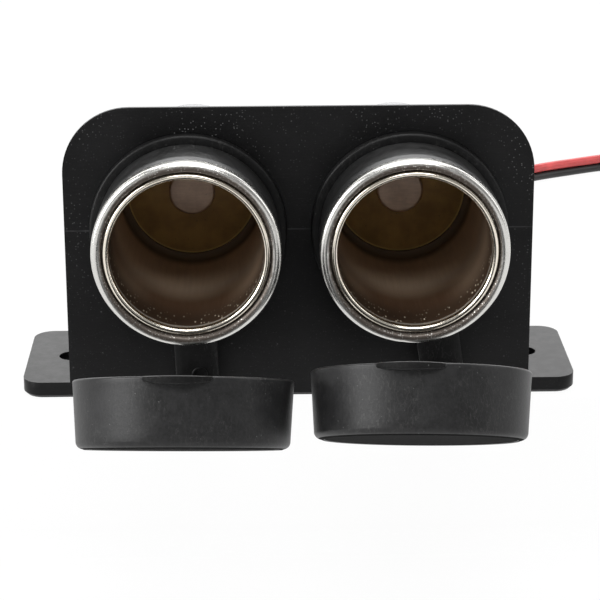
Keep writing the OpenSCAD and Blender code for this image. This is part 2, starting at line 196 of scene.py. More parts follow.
class Board:
    """The node tree of one material or of the world."""

    def __init__(self, tree: bpy.types.NodeTree) -> None:
        """Clears the tree.

        Args:
            tree: The tree that the nodes go into.
        """
        self.tree = tree
        tree.nodes.clear()

    @staticmethod
    def _find(sockets: Iterable[bpy.types.NodeSocket], key: Union[str, int]) -> bpy.types.NodeSocket:
        """Looks a socket up.

        Args:
            sockets: The node's inputs or outputs.
            key: The socket's identifier, name or number.

        Returns:
            The socket.
        """
        found = list(sockets)
        if isinstance(key, int):
            return found[key]
        exact = [s for s in found if s.identifier == key] or [s for s in found if s.name == key]
        return exact[0]

    def node(
        self, kind: str, settings: Mapping[str, object], values: Mapping[Union[str, int], object],
        out: Union[str, int] = 0,
    ) -> Shade:
        """Adds one node.

        Args:
            kind: The node's type.
            settings: Its settings, which are set first.
            values: Numbers, tuples or shader values for its inputs, by name, identifier or number.
            out: The output that comes back.

        Returns:
            That output as a value.
        """
        made = self.tree.nodes.new(kind)
        for name, setting in settings.items():
            setattr(made, name, setting)
        for key, value in values.items():
            socket = self._find(made.inputs, key)
            if isinstance(value, Shade):
                self.tree.links.new(value.socket, socket)
            elif isinstance(value, tuple) and socket.type == "RGBA":
                socket.default_value = (*value, 1.0)
            else:
                socket.default_value = value
        if not made.outputs:
            return Shade(self, made.inputs[0])
        return Shade(self, self._find(made.outputs, out))

    def place(self) -> Shade:
        """The point on the piece, in millimetres of the row frame at rest."""
        here = self.node("ShaderNodeTexCoord", {}, {}, "Object")
        return self.node("ShaderNodeVectorMath", {"operation": "SCALE"}, {0: here, "Scale": 1 / MM})

    def stretched(self, where: Shade, x: float, y: float, z: float) -> Shade:
        """A point with each axis scaled, for streaks along the smallest one."""
        return self.node("ShaderNodeVectorMath", {"operation": "MULTIPLY"}, {0: where, 1: (x, y, z)})

    def axes(self, where: Shade) -> tuple[Shade, Shade, Shade]:
        """A point's three numbers.

        Args:
            where: The point.

        Returns:
            Its X, Y and Z.
        """
        parts = self.node("ShaderNodeSeparateXYZ", {}, {0: where}, "X")
        return parts, parts.output("Y"), parts.output("Z")

    def from_axis(self, where: Shade) -> tuple[Shade, Shade, Shade]:
        """How far a point is from the axis of its socket.

        Args:
            where: The point.

        Returns:
            The distances sideways, upwards and straight out.
        """
        x, _, z = self.axes(where)
        out, up = abs(x) - AXIS_X, z - AXIS_Z
        return out, up, (out * out + up * up) ** 0.5

    def noise(self, where: Shade, scale: float, detail: float = 3, rough: float = 0.55) -> Shade:
        """Soft cloudy noise.

        Args:
            where: The point, in millimetres.
            scale: Clouds per millimetre.
            detail: Layers of finer noise.
            rough: How strong the finer layers are.

        Returns:
            The noise, from 0 to 1.
        """
        values = {"Vector": where, "Scale": scale, "Detail": detail, "Roughness": rough}
        return self.node("ShaderNodeTexNoise", {"noise_dimensions": "3D"}, values, "Fac")

    def specks(self, where: Shade, per_mm: float, size: float, share: float) -> Shade:
        """Round specks strewn over a surface.

        Args:
            where: The point, in millimetres.
            per_mm: Cells per millimetre, each of which may hold one speck.
            size: The speck's radius, as a share of a cell.
            share: The share of cells that hold one.

        Returns:
            1 on a speck and 0 elsewhere, with soft edges.
        """
        values = {"Vector": where, "Scale": per_mm, "Randomness": 1.0}
        cells = self.node("ShaderNodeTexVoronoi", {"feature": "F1"}, values, "Distance")
        tint = cells.output("Color")
        draw = self.node("ShaderNodeSeparateColor", {}, {0: tint}, "Red")
        spread = draw.output("Green")
        return (1 - cells.step(size * 0.4, size)) * (1 - draw.above(share)) * (spread * 0.7 + 0.3)

    def tint(self, mask: Value, low: object, high: object) -> Shade:
        """Two colours mixed by a mask.

        Args:
            mask: 0 for the first colour and 1 for the second.
            low: The first colour or value.
            high: The second colour or value.

        Returns:
            The mixed colour.
        """
        values = {"Factor_Float": mask, "A_Color": low, "B_Color": high}
        return self.node("ShaderNodeMix", {"data_type": "RGBA", "clamp_factor": True}, values, "Result_Color")

    def bump(self, height: Value, distance: float, strength: float = 1.0) -> Shade:
        """A bumped normal.

        Args:
            height: The relief, from 0 to 1.
            distance: The relief's height in millimetres.
            strength: How much of it shows.

        Returns:
            The normal.
        """
        values = {"Strength": strength, "Distance": distance * MM, "Height": height}
        return self.node("ShaderNodeBump", {}, values)

    def surface(self, values: Mapping[Union[str, int], object]) -> None:
        """Ends a material in one Principled shader.

        Args:
            values: What goes into the shader's inputs.
        """
        shader = self.node("ShaderNodeBsdfPrincipled", {"distribution": "MULTI_GGX"}, values)
        self.node("ShaderNodeOutputMaterial", {}, {"Surface": shader})


@dataclass(frozen=True)
class Finish:
    """What each finish has: its own name and the record's slot that it belongs to."""

    name: str
    slot: str

    def material(self) -> bpy.types.Material:
        """The finish as a material, made the first time it is asked for.

        Returns:
            The material.
        """
        made = bpy.data.materials.get(self.name)
        if made is None:
            made = bpy.data.materials.new(self.name)
            made.use_nodes = True
            self.draw(Board(made.node_tree))
        return made

    def draw(self, board: Board) -> None:
        """Draws the material's nodes; each finish has its own."""
        raise NotImplementedError


@dataclass(frozen=True)
class MouldedPlastic(Finish):
    """Hard black plastic from a mould: faint clouds, fine grain, dust, a painted sheen on its upper front
    edges, and parting lines if it has them.
    """

    dark: Colour = (0.0028, 0.0028, 0.003)
    pale: Colour = (0.0055, 0.0055, 0.0058)
    # Pale grey of the dust, also used for the painted sheen on upper front edges.
    dust: Colour = (0.4, 0.4, 0.4)
    seam_tone: Colour = (0.05, 0.05, 0.052)
    scratch: Colour = (0.06, 0.06, 0.06)
    rough: float = 0.34
    gloss: float = 0.15
    grain: float = 0.012
    dusty: float = 0.12
    film: float = 0.02
    # How strongly the painted sheen lightens the upper front edges.
    edge_sheen: float = 0.04
    parting_z: float = 0.0

    def draw(self, board: Board) -> None:
        """Clouds, dust and a painted edge sheen in the colour, grain in the relief.

        Args:
            board: Where the nodes go.
        """
        where = board.place()
        clouds = board.noise(where, 0.11, 4)
        fine = board.noise(where, 7.0, 2)
        patch = board.noise(where, 0.55, 4, 0.6)
        _, y, z = board.axes(where)
        heavy = board.noise(where, 0.05, 2).step(0.46, 0.66) * z.step(6.0, 36.0)
        _, forward, upward = board.axes(board.node("ShaderNodeTexCoord", {}, {}, "Normal"))
        film = upward.step(0.6, 0.95) * patch.step(0.36, 0.68)
        # Painted highlight: rounded edges that face up and forward, as on the ears and collars, are
        # lightened.
        wear_and_edge_sheen = upward.step(0.2, 0.45) * (1 - upward.step(0.85, 0.98)) * (1 - forward.step(-0.35, -0.1))
        big = board.specks(where, 0.9, 0.14, self.dusty) * (heavy * 0.75 + 0.25)
        small = board.specks(where, 2.6, 0.28, self.dusty * 4.0) * (heavy * 0.9 + 0.1)
        scratches = board.noise(board.stretched(where, 0.25, 1.0, 6.0), 1.4, 2).band(0.5, 0.004, 0.006)
        dust = (big + small * 0.7).math("MINIMUM", 1.0)
        colour = board.tint(clouds.step(0.3, 0.7), self.dark, self.pale)
        height = fine * 0.6 + clouds * 0.4 + patch * 0.9
        if self.parting_z:
            seam = z.band(self.parting_z, 0.05, 0.07) * (1 - y.above(PANEL_FACE + 0.3))
            faint = board.noise(where, 0.35, 2).step(0.35, 0.7)
            colour = board.tint(seam * (faint * 0.5 + 0.25), colour, self.seam_tone)
            height = height + seam * 0.8
        colour = board.tint(scratches * 0.12, colour, self.scratch)
        colour = board.tint(film * self.film + wear_and_edge_sheen * self.edge_sheen, colour, self.dust)
        colour = board.tint(dust * 0.5, colour, self.dust)
        rough = clouds * 0.12 + patch * 0.16 + fine * 0.08 + (self.rough - 0.18) + dust * 0.3
        board.surface({
            "Base Color": colour, "Roughness": rough, "Specular IOR Level": self.gloss,
            "Normal": board.bump(height + dust * 1.5, self.grain),
        })


@dataclass(frozen=True)
class SoftPlastic(Finish):
    """Softer black plastic of the caps and straps: satin, finely mottled, with pale scuffs and dust."""

    dark: Colour = (0.006, 0.006, 0.0062)
    pale: Colour = (0.017, 0.017, 0.0174)
    scuff: Colour = (0.11, 0.108, 0.104)
    dust: Colour = (0.16, 0.16, 0.155)
    rough: float = 0.42
    gloss: float = 0.3
    grain: float = 0.026

    def draw(self, board: Board) -> None:
        """Mottling and scuffs in the colour, a leathery fine relief.

        Args:
            board: Where the nodes go.
        """
        where = board.place()
        mottle = board.noise(where, 0.5, 5, 0.65)
        clouds = board.noise(where, 0.09, 2)
        fine = board.noise(where, 2.6, 3, 0.65)
        wear_and_edge_sheen = board.noise(where, 0.14, 2).step(0.44, 0.62)
        rub = board.noise(board.stretched(where, 1.0, 0.8, 0.8), 1.6, 4).step(0.56, 0.78)
        line = board.noise(board.stretched(where, 1.6, 0.7, 0.5), 0.9, 2).band(0.5, 0.006, 0.012)
        dust = board.specks(where, 1.7, 0.17, 0.13)
        tone = (mottle * 0.4 + clouds * 0.25 + fine * 0.35).step(0.33, 0.67)
        colour = board.tint(tone, self.dark, self.pale)
        colour = board.tint((rub * 0.11 + line * 0.14) * (wear_and_edge_sheen * 0.8 + 0.2), colour, self.scuff)
        colour = board.tint(dust * 0.5, colour, self.dust)
        rough = mottle * 0.14 + (self.rough - 0.07) + rub * 0.06
        board.surface({
            "Base Color": colour, "Roughness": rough, "Specular IOR Level": self.gloss,
            "Normal": board.bump(fine * 0.7 + mottle * 0.5 + dust, self.grain),
        })


@dataclass(frozen=True)
class Plating(Finish):
    """Bright nickel plate: near mirror, with a skin of tiny pits, tarnish specks and a few rubbed nicks."""

    bright: Colour = (0.74, 0.73, 0.7)
    tarnish: Colour = (0.13, 0.1, 0.075)
    # Colour of the painted shade in the groove between the bead and the barrel's lip.
    groove_shade: Colour = (0.05, 0.033, 0.022)
    rough: float = 0.26
    pitted: float = 0.3
    streaks: float = 0.0
    groove_shade_r: float = 0.0

    def draw(self, board: Board) -> None:
        """Tarnish and pits in the colour, roughness and relief, and painted shade in the groove inside the
        bead where it has one.

        Args:
            board: Where the nodes go.
        """
        where = board.place()
        clouds = board.noise(where, 0.35, 3)
        haze = board.noise(where, 1.6, 4, 0.65)
        pits = board.specks(where, 3.2, 0.26, self.pitted)
        wear = board.noise(where, 0.16, 2).step(0.4, 0.66)
        tarnish = pits * (wear * 0.75 + 0.25) + haze.step(0.55, 0.8) * 0.45 * wear
        tarnish = tarnish.math("MINIMUM", 1.0)
        colour = board.tint(clouds, self.bright, tuple(c * 0.86 for c in self.bright))
        colour = board.tint(tarnish * 0.75, colour, self.tarnish)
        metal: Value = 1.0
        if self.groove_shade_r:
            # Painted shade: the bead's inner side, at the gap to the barrel's lip, is darkened, wider at the
            # top and bottom, with specks of plate left bright.
            _, up, radius = board.from_axis(where)
            reach = radius + haze * 0.4 - abs(up) * 0.052
            sparks = board.specks(where, 3.4, 0.4, 0.6)
            inward = (1 - reach.step(self.groove_shade_r - 0.15, self.groove_shade_r + 0.25)) * (0.92 - sparks * 0.87)
            colour = board.tint(inward, colour, self.groove_shade)
            tarnish = (tarnish + inward * 0.6).math("MINIMUM", 1.0)
            metal = 1 - inward * 0.5
        lines = board.noise(board.stretched(where, 1.0, 0.06, 1.0), 3.0, 2)
        rough = haze * 0.1 + (self.rough - 0.05) + tarnish * 0.25 + lines * self.streaks * 0.2
        height = haze * 0.25 - pits * 0.8 + lines * self.streaks
        board.surface({
            "Base Color": colour, "Metallic": metal, "Roughness": rough,
            "Normal": board.bump(height, 0.018),
        })


@dataclass(frozen=True)
class DrawnMetal(Finish):
    """The barrel: bright plate on the rolled lip, thin and brown with drawing lines further in."""

    bright: Colour = (0.88, 0.82, 0.71)
    brown: Colour = (0.108, 0.061, 0.036)
    # Lighter tan for the painted light further back and on the side walls.
    deep: Colour = (0.6, 0.46, 0.33)
    # Colour of the painted shade in the corner at the barrel's floor.
    corner: Colour = (0.2, 0.148, 0.1)
    shadow: Colour = (0.045, 0.028, 0.018)
    streak: Colour = (0.2, 0.13, 0.085)
    fleck: Colour = (0.9, 0.8, 0.62)
    pit: Colour = (0.2, 0.15, 0.11)
    # How much painted light the left and right walls get.
    side: float = 0.26
    bright_to: float = 0.9
    brown_from: float = 2.0
    mouth_depth: float = -12.95
    corner_depth: float = 32.3
    outside_r: float = 11.2

    def draw(self, board: Board) -> None:
        """The plate gives way to brown with depth, and bare specks shine through near the mouth. A shadow is
        painted inside the mouth, painted light makes the wall lighter further back and on its left and right,
        and painted shade darkens the corner at the floor.

        Args:
            board: Where the nodes go.
        """
        where = board.place()
        out, _, radius = board.from_axis(where)
        depth = board.axes(where)[1] - (PANEL_FACE + self.mouth_depth)
        lines = board.noise(board.stretched(where, 1.0, 0.05, 1.0), 2.4, 3)
        haze = board.noise(where, 0.9, 4, 0.6)
        outside = radius.step(self.outside_r - 0.2, self.outside_r)
        inward = (depth + haze * 0.5).step(self.bright_to, self.brown_from) * (1 - outside)
        painted_light_depth = depth.step(11.0, 21.0)
        near = 1 - depth.step(2.5, 8.0)
        bare = board.specks(board.stretched(where, 1.0, 0.34, 1.0), 2.2, 0.33, 0.6) * near * 0.85
        # Painted light: the wall turns a lighter tan further back from the mouth.
        colour = board.tint(painted_light_depth, self.brown, self.deep)
        colour = board.tint(lines.step(0.35, 0.7) * 0.14, colour, self.streak)
        # Painted light: the left and right walls are lightened towards the same tan.
        colour = board.tint(abs(out).step(4.5, 9.5) * self.side, colour, self.deep)
        # Painted shade: darker colour in the corner where the wall meets the floor.
        colour = board.tint(depth.step(self.corner_depth - 3.5, self.corner_depth + 0.4), colour, self.corner)
        colour = board.tint((depth + haze * 2).step(4.0, 12.5), self.shadow, colour)
        colour = board.tint(inward, self.bright, colour)
        colour = board.tint(bare * inward, colour, self.fleck)
        pits = board.specks(where, 3.4, 0.24, 0.25) * (1 - inward)
        colour = board.tint(pits * 0.7, colour, self.pit)
        rough = inward * 0.3 + 0.13 + haze * 0.12 - bare * 0.1
        height = lines * 0.35 + haze * 0.3 - pits
        board.surface({
            "Base Color": colour, "Metallic": 1 - inward * 0.88, "Roughness": rough,
            "Specular IOR Level": 0.05, "Normal": board.bump(height, 0.012),
        })


@dataclass(frozen=True)
class Laminate(Finish):
    """Brown phenolic sheet: mottled resin over fine cross-laid fibres, with a painted highlight round the
    edge of the barrel floor's opening, and darker from about 11 mm out.
    """

    dark: Colour = (0.4, 0.245, 0.075)
    pale: Colour = (0.56, 0.35, 0.11)
    # Pale gold of the painted highlight ring.
    rim: Colour = (0.75, 0.55, 0.2)
    outer: Colour = (0.2, 0.12, 0.042)
    dot: Colour = (0.05, 0.03, 0.012)
    rim_r: float = 9.84
    outer_r: float = 11.0

    def draw(self, board: Board) -> None:
        """Fibres in two directions under a thin resin skin.

        Args:
            board: Where the nodes go.
        """
        where = board.place()
        radius = board.from_axis(where)[2]
        cloud = board.noise(where, 0.28, 3)
        across = board.noise(board.stretched(where, 0.2, 1.0, 3.0), 1.8, 2)
        along = board.noise(board.stretched(where, 3.0, 1.0, 0.2), 1.8, 2)
        fibres = (across + along) * 0.5
        colour = board.tint((cloud * 0.85 + fibres * 0.15).step(0.32, 0.68), self.dark, self.pale)
        # Painted highlight: a pale gold ring where the disc shows at the edge of the barrel floor's opening.
        colour = board.tint(radius.band(self.rim_r, 0.12, 0.12), colour, self.rim)
        colour = board.tint(radius.step(self.outer_r - 0.2, self.outer_r), colour, self.outer)
        dots = board.specks(where, 1.5, 0.2, 0.16)
        colour = board.tint(dots * 0.5, colour, self.dot)
        board.surface({
            "Base Color": colour, "Roughness": fibres * 0.12 + 0.38,
            "Normal": board.bump(fibres + cloud * 0.5, 0.006),
        })


@dataclass(frozen=True)
class SheetMetal(Finish):
    """Stamped or tinned metal: rolling lines, dull patches and small dents."""

    bright: Colour = (0.5, 0.46, 0.42)
    dull: Colour = (0.3, 0.27, 0.245)
    rough: float = 0.42
    lines_along: Point = (0.1, 1.0, 1.0)

    def draw(self, board: Board) -> None:
        """Rolling lines over dull patches.

        Args:
            board: Where the nodes go.
        """
        where = board.place()
        rolled = board.noise(board.stretched(where, *self.lines_along), 4.0, 2)
        patch = board.noise(where, 0.4, 4, 0.6)
        dents = board.specks(where, 1.6, 0.3, 0.16)
        colour = board.tint((patch * 0.7 + rolled * 0.3).step(0.3, 0.7), self.bright, self.dull)
        colour = board.tint(dents * 0.4, colour, tuple(c * 0.5 for c in self.dull))
        board.surface({
            "Base Color": colour, "Metallic": 1.0,
            "Roughness": patch * 0.2 + rolled * 0.1 + (self.rough - 0.15),
            "Normal": board.bump(rolled * 0.6 + patch * 0.5 - dents, 0.012),
        })


@dataclass(frozen=True)
class SoftCover(Finish):
    """Coloured soft plastic: a lead's insulation or a connector's cover, a little glossy."""

    colour: Colour = (0.42, 0.022, 0.016)
    dust: Colour = (0.3, 0.28, 0.26)
    rough: float = 0.34
    along: Point = (1.0, 1.0, 1.0)
    grain: float = 0.02

    def draw(self, board: Board) -> None:
        """Slight unevenness of colour, a handled sheen and dust.

        Args:
            board: Where the nodes go.
        """
        where = board.place()
        cloud = board.noise(where, 0.35, 3)
        skin = board.noise(board.stretched(where, *self.along), 2.2, 3, 0.6)
        dust = board.specks(where, 1.4, 0.15, 0.1)
        deep = tuple(c * 0.72 for c in self.colour)
        colour = board.tint(cloud.step(0.3, 0.7), self.colour, deep)
        colour = board.tint(dust * 0.3, colour, self.dust)
        board.surface({
            "Base Color": colour, "Roughness": skin * 0.16 + (self.rough - 0.08),
            "Specular IOR Level": 0.45, "Normal": board.bump(skin + dust, self.grain),
        })


@dataclass(frozen=True)
class Ground(Finish):
    """The pale floor: matte card, shown as plain white where nothing shades it."""

    tone: Colour = (0.82, 0.82, 0.82)
    share: float = 0.95

    def draw(self, board: Board) -> None:
        """A matte surface, mixed with plain white for camera, glossy and transmission rays.

        Args:
            board: Where the nodes go.
        """
        where = board.place()
        fibre = board.noise(where, 0.8, 3)
        colour = board.tint(fibre, self.tone, tuple(c * 0.97 for c in self.tone))
        matte = board.node("ShaderNodeBsdfDiffuse", {}, {"Color": colour})
        white = board.node("ShaderNodeEmission", {}, {"Color": (1.0, 1.0, 1.0), "Strength": 1.0})
        ray = board.node("ShaderNodeLightPath", {}, {}, "Is Camera Ray")
        seen = ray
        for kind in ("Is Glossy Ray", "Is Transmission Ray"):
            seen = seen.math("MAXIMUM", ray.output(kind))
        mixed = board.node("ShaderNodeMixShader", {}, {0: seen * self.share, 1: matte, 2: white})
        board.node("ShaderNodeOutputMaterial", {}, {"Surface": mixed})


BLACK = MouldedPlastic("black_moulding", "moulded_black", film=0.07, edge_sheen=0.35, parting_z=25.7)
SLEEVE_BLACK = MouldedPlastic(
    "black_sleeve", "moulded_black", dark=(0.006, 0.006, 0.006), pale=(0.012, 0.012, 0.012),
    gloss=0.68, dusty=0.2,
)
NUT_BLACK = MouldedPlastic("black_ring_nut", "moulded_black", rough=0.42, grain=0.03, dusty=0.05)
CAP_BLACK = SoftPlastic("cap_black", "soft_black")
# The cap's closed face: duller, and darker as painted shade.
CAP_FACE_PAINTED_SHADE = SoftPlastic(
    "cap_face_painted_shade", "soft_black", dark=(0.003, 0.003, 0.003), pale=(0.0075, 0.0075, 0.0075),
    scuff=(0.05, 0.05, 0.05), rough=0.95, gloss=0.06,
)
# The finger lip's front: duller, and darker as painted shade.
CAP_LIP_PAINTED_SHADE = SoftPlastic(
    "cap_lip_painted_shade", "soft_black", dark=(0.0035, 0.0035, 0.0035), pale=(0.009, 0.009, 0.009),
    rough=0.7, gloss=0.14,
)
CAP_RIM = SoftPlastic("cap_rim_black", "soft_black", rough=0.33, gloss=0.38, grain=0.012)
STRAP_BLACK = SoftPlastic(
    "strap_black", "soft_black", dark=(0.0035, 0.0035, 0.0035), pale=(0.0075, 0.0075, 0.0077),
    rough=0.44, gloss=0.2,
)
BRIGHT = Plating("bright_nickel_plate", "bright_nickel", groove_shade_r=12.25)
CAN_NICKEL = Plating(
    "can_nickel", "bright_nickel", bright=(0.3, 0.3, 0.31), rough=0.24, streaks=0.5, pitted=0.12,
)
BARREL = DrawnMetal("drawn_barrel_metal", "drawn_barrel")
DISC = Laminate("brown_laminate", "phenolic")
TIN = SheetMetal("dull_tin", "tinned_metal")
CONTACT_TIN = SheetMetal(
    "contact_tin", "tinned_metal", bright=(0.95, 0.79, 0.67), dull=(0.76, 0.63, 0.53), rough=0.6,
)
BRASS = SheetMetal(
    "rolled_brass", "brass_sheet", bright=(0.62, 0.44, 0.17), dull=(0.45, 0.3, 0.11), rough=0.34,
)
RED_COVER = SoftCover("red_cover_plastic", "red_cover")
BLACK_COVER = SoftCover("black_cover_plastic", "black_cover", colour=(0.012, 0.012, 0.012))
RED_WIRE = SoftCover("red_insulation", "red_wire", colour=(0.56, 0.07, 0.07), along=(0.3, 0.3, 0.3))
BLACK_WIRE = SoftCover("black_insulation", "black_wire", colour=(0.012, 0.012, 0.012), along=(0.3, 0.3, 0.3))
FLOOR = Ground("pale_card", "moulded_black")


def filleted(corners: Sequence[Point], steps: int = 5) -> list[Pair]:
    """Rounds the corners of a closed outline.

    Args:
        corners: Each corner as (x, y, radius of its rounding).
        steps: Pieces in each rounding.

    Returns:
        The outline's points.
    """
    points: list[Pair] = []
    for i, (x, y, radius) in enumerate(corners):
        here = Vector((x, y))
        back = Vector(corners[i - 1][:2]) - here
        ahead = Vector(corners[(i + 1) % len(corners)][:2]) - here
        if radius <= 0:
            points.append((x, y))
            continue
        half = back.angle(ahead) / 2
        reach = min(radius / math.tan(half), 0.49 * back.length, 0.49 * ahead.length)
        true_radius = reach * math.tan(half)
        u, v = back.normalized(), ahead.normalized()
        centre = here + (u + v).normalized() * (true_radius / math.sin(half))
        start, end = here + u * reach - centre, here + v * reach - centre
        turn = start.angle_signed(end)
        for k in range(steps + 1):
            a = -turn * k / steps
            c, s = math.cos(a), math.sin(a)
            points.append((centre.x + start.x * c - start.y * s, centre.y + start.x * s + start.y * c))
    return points


def arc(x: float, y: float, radius: float, start: float, end: float, steps: int) -> list[Pair]:
    """Points on an arc, with angles in degrees.

    Args:
        x: The centre's first number.
        y: The centre's second number.
        radius: The arc's radius.
        start: The first angle.
        end: The last angle.
        steps: Pieces in the arc.

    Returns:
        The points.
    """
    angles = [math.radians(start + (end - start) * k / steps) for k in range(steps + 1)]
    return [(x + radius * math.cos(a), y + radius * math.sin(a)) for a in angles]


def smooth_route(points: Sequence[Point]) -> list[tuple[Vector, Vector, Vector]]:
    """A route's points with the handles of the smooth curve through them.

    Args:
        points: The route, in millimetres.

    Returns:
        Each point with its back and front handle, in metres.
    """
    places = [Vector(p) * MM for p in points]
    last = len(places) - 1
    made = []
    for i, here in enumerate(places):
        lean = (places[min(i + 1, last)] - places[max(i - 1, 0)]) / 6
        made.append((here - lean, here, here + lean))
    return made


def wire(stem: str, finish: Finish, route: Sequence[Point], radius: float, fineness: int) -> bpy.types.Object:
    """A wire as a curve on a smooth route.

    Args:
        stem: The start of its name.
        finish: Its finish.
        route: The points that it passes, in millimetres.
        radius: Half its thickness in millimetres.
        fineness: Pieces between two points of the route.

    Returns:
        The wire's object.
    """
    line = bpy.data.curves.new(f"{stem}_line", "CURVE")
    line.dimensions = "3D"
    line.bevel_depth = radius * MM
    line.bevel_resolution = 6
    line.resolution_u = fineness
    line.use_fill_caps = True
    spline = line.splines.new("BEZIER")
    knots = smooth_route(route)
    spline.bezier_points.add(len(knots) - 1)
    for point, (back, here, ahead) in zip(spline.bezier_points, knots):
        point.handle_left_type = point.handle_right_type = "FREE"
        point.co, point.handle_left, point.handle_right = here, back, ahead
    line.materials.append(finish.material())
    piece = placed(f"{stem}_skin", line)
    return piece


def placed(name: str, data: bpy.types.ID) -> bpy.types.Object:
    """Makes an object and links it to the scene.

    Args:
        name: Its name.
        data: Its mesh, curve, light or camera.

    Returns:
        The object.
    """
    made = bpy.data.objects.new(name, data)
    bpy.context.scene.collection.objects.link(made)
    return made


def plain_radius(depth: float, radius: float, angle: float) -> float:
    """The radius as it is, for a piece that is truly round."""
    return radius


@dataclass
class Shell:
    """Points and faces of one mesh, in millimetres of the row frame."""

    points: list[Vector] = field(default_factory=list)
    faces: list[tuple[int, ...]] = field(default_factory=list)

    def grid(self, rows: Sequence[Sequence[Vector]], loop_rows: bool, loop_columns: bool) -> None:
        """Adds rows of points joined by four-sided faces.

        Args:
            rows: The rows, all of one length.
            loop_rows: Whether the last row joins the first.
            loop_columns: Whether each row's last point joins its first.
        """
        first, n, m = len(self.points), len(rows), len(rows[0])
        for row in rows:
            self.points.extend(row)
        for i in range(n if loop_rows else n - 1):
            for j in range(m if loop_columns else m - 1):
                a, b = first + i * m, first + (i + 1) % n * m
                k = (j + 1) % m
                self.faces.append((a + j, a + k, b + k, b + j))

    def cap(self, row: Sequence[Vector], flip: bool) -> None:
        """Closes a ring of points with a dished fan round its middle.

        Args:
            row: The ring.
            flip: Whether the face looks the other way.
        """
        first = len(self.points)
        middle = sum(row, Vector()) / len(row)
        self.points.extend([*row, middle])
        for j in range(len(row)):
            face = (first + j, first + (j + 1) % len(row), first + len(row))
            self.faces.append(face[::-1] if flip else face)

    def turned(
        self, side: Side, profile: Sequence[Pair], parts: int = 160, closed: bool = True,
        shape: Shape = plain_radius,
    ) -> None:
        """Turns a profile round a socket's axis.

        Args:
            side: Which socket.
            profile: Points as (radius, depth behind the panel face).
            parts: Pieces round the axis.
            closed: Whether the profile's last point joins its first.
            shape: Gives the radius at a depth, radius and angle.
        """
        rows = []
        for radius, depth in profile:
            angles = (2 * math.pi * j / parts for j in range(parts))
            rows.append([side.point(shape(depth, radius, a), depth, a) for a in angles])
        self.grid(rows, closed, True)

    def band(self, path: Sequence[Vector], outline: Sequence[Pair], across: Vector) -> None:
        """Sweeps an outline along a path.

        Args:
            path: The middle line.
            outline: The section, as (across, through) pairs.
            across: The direction that the section's first number follows.
        """
        rows = []
        for i, here in enumerate(path):
            along = (path[min(i + 1, len(path) - 1)] - path[max(i - 1, 0)]).normalized()
            side = (across - along * across.dot(along)).normalized()
            up = side.cross(along)
            rows.append([here + side * u + up * v for u, v in outline])
        self.grid(rows, False, True)
        self.cap(rows[0], True)
        self.cap(rows[-1], False)

    def swung(self, pivot: Vector, turn: Matrix) -> None:
        """Turns everything added so far about a point.

        Args:
            pivot: The point.
            turn: The rotation.
        """
        self.points = [turn @ (p - pivot) + pivot for p in self.points]

    def piece(self, name: str, finish: Finish, crease: float = 42.0) -> bpy.types.Object:
        """Makes the mesh an object with a finish.

        Args:
            name: The piece's name.
            finish: Its finish.
            crease: The angle in degrees over which an edge stays sharp.

        Returns:
            The object.
        """
        mesh = bpy.data.meshes.new(name)
        mesh.from_pydata([p * MM for p in self.points], [], self.faces)
        mesh.validate()
        made = placed(name, mesh)
        weld = made.modifiers.new("weld", "WELD")
        weld.merge_threshold = 0.002 * MM
        applied = bpy.data.meshes.new_from_object(made.evaluated_get(bpy.context.evaluated_depsgraph_get()))
        made.modifiers.clear()
        made.data = applied
        self._turn_out(applied)
        applied.shade_smooth()
        applied.set_sharp_from_angle(angle=math.radians(crease))
        applied.materials.clear()
        applied.materials.append(finish.material())
        return made

    @staticmethod
    def _turn_out(mesh: bpy.types.Mesh) -> None:
        """Makes all faces look outwards.

        Args:
            mesh: The mesh.
        """
        work = bmesh.new()
        work.from_mesh(mesh)
        bmesh.ops.recalc_face_normals(work, faces=work.faces)
        work.to_mesh(mesh)
        work.free()


@dataclass(frozen=True)
class Thread:
    """A thread cut into part of a turned piece."""

    radius: float
    start: float
    end: float
    pitch: float
    height: float

    def __call__(self, depth: float, radius: float, angle: float) -> float:
        """Cuts the thread.

        Args:
            depth: Depth behind the panel face.
            radius: The plain radius.
            angle: Angle round the axis.

        Returns:
            The radius there.
        """
        if radius < self.radius - 0.01 or not self.start <= depth <= self.end:
            return radius
        phase = (depth / self.pitch + angle / (2 * math.pi)) % 1.0
        return radius - self.height * (1 - abs(2 * phase - 1))


def dress(node: str, finish: Finish, edge: float = 0.0) -> bpy.types.Object:
    """Gives a CAD node its finish, and softens its edges.

    Args:
        node: The CAD node's name.
        finish: Its finish.
        edge: Radius of the softened edges in millimetres, or 0 for none.

    Returns:
        The node's object.
    """
    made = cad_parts[node]
    for place in made.material_slots:
        place.material = finish.material()
    if edge > 0:
        weld = made.modifiers.new("weld", "WELD")
        weld.merge_threshold = 0.003 * MM
        bevel = made.modifiers.new("soft_edges", "BEVEL")
        bevel.width = edge * MM
        bevel.segments = 3
        bevel.limit_method = "ANGLE"
        bevel.angle_limit = math.radians(32)
        bevel.harden_normals = True
        bevel.use_clamp_overlap = True
    LOG.info("dressed %s with %s", node, finish.name)
    return made


def settle(piece: bpy.types.Object, body: str, *nodes: str) -> bpy.types.Object:
    """Lets a piece ride on a body in place of CAD nodes.

    Args:
        piece: The piece.
        body: The body that it rides on.
        nodes: The nodes that it stands for.

    Returns:
        The piece.
    """
    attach(piece, body)
    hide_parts(*nodes)
    LOG.info("built %s in place of %s", piece.name, ", ".join(nodes))
    return piece


@dataclass
class Bracket:
    """The moulded bracket: its CAD solid with softened edges."""

    edge: float = 0.25

    def build(self) -> None:
        """Dresses the bracket."""
        dress("bracket", BLACK, self.edge)


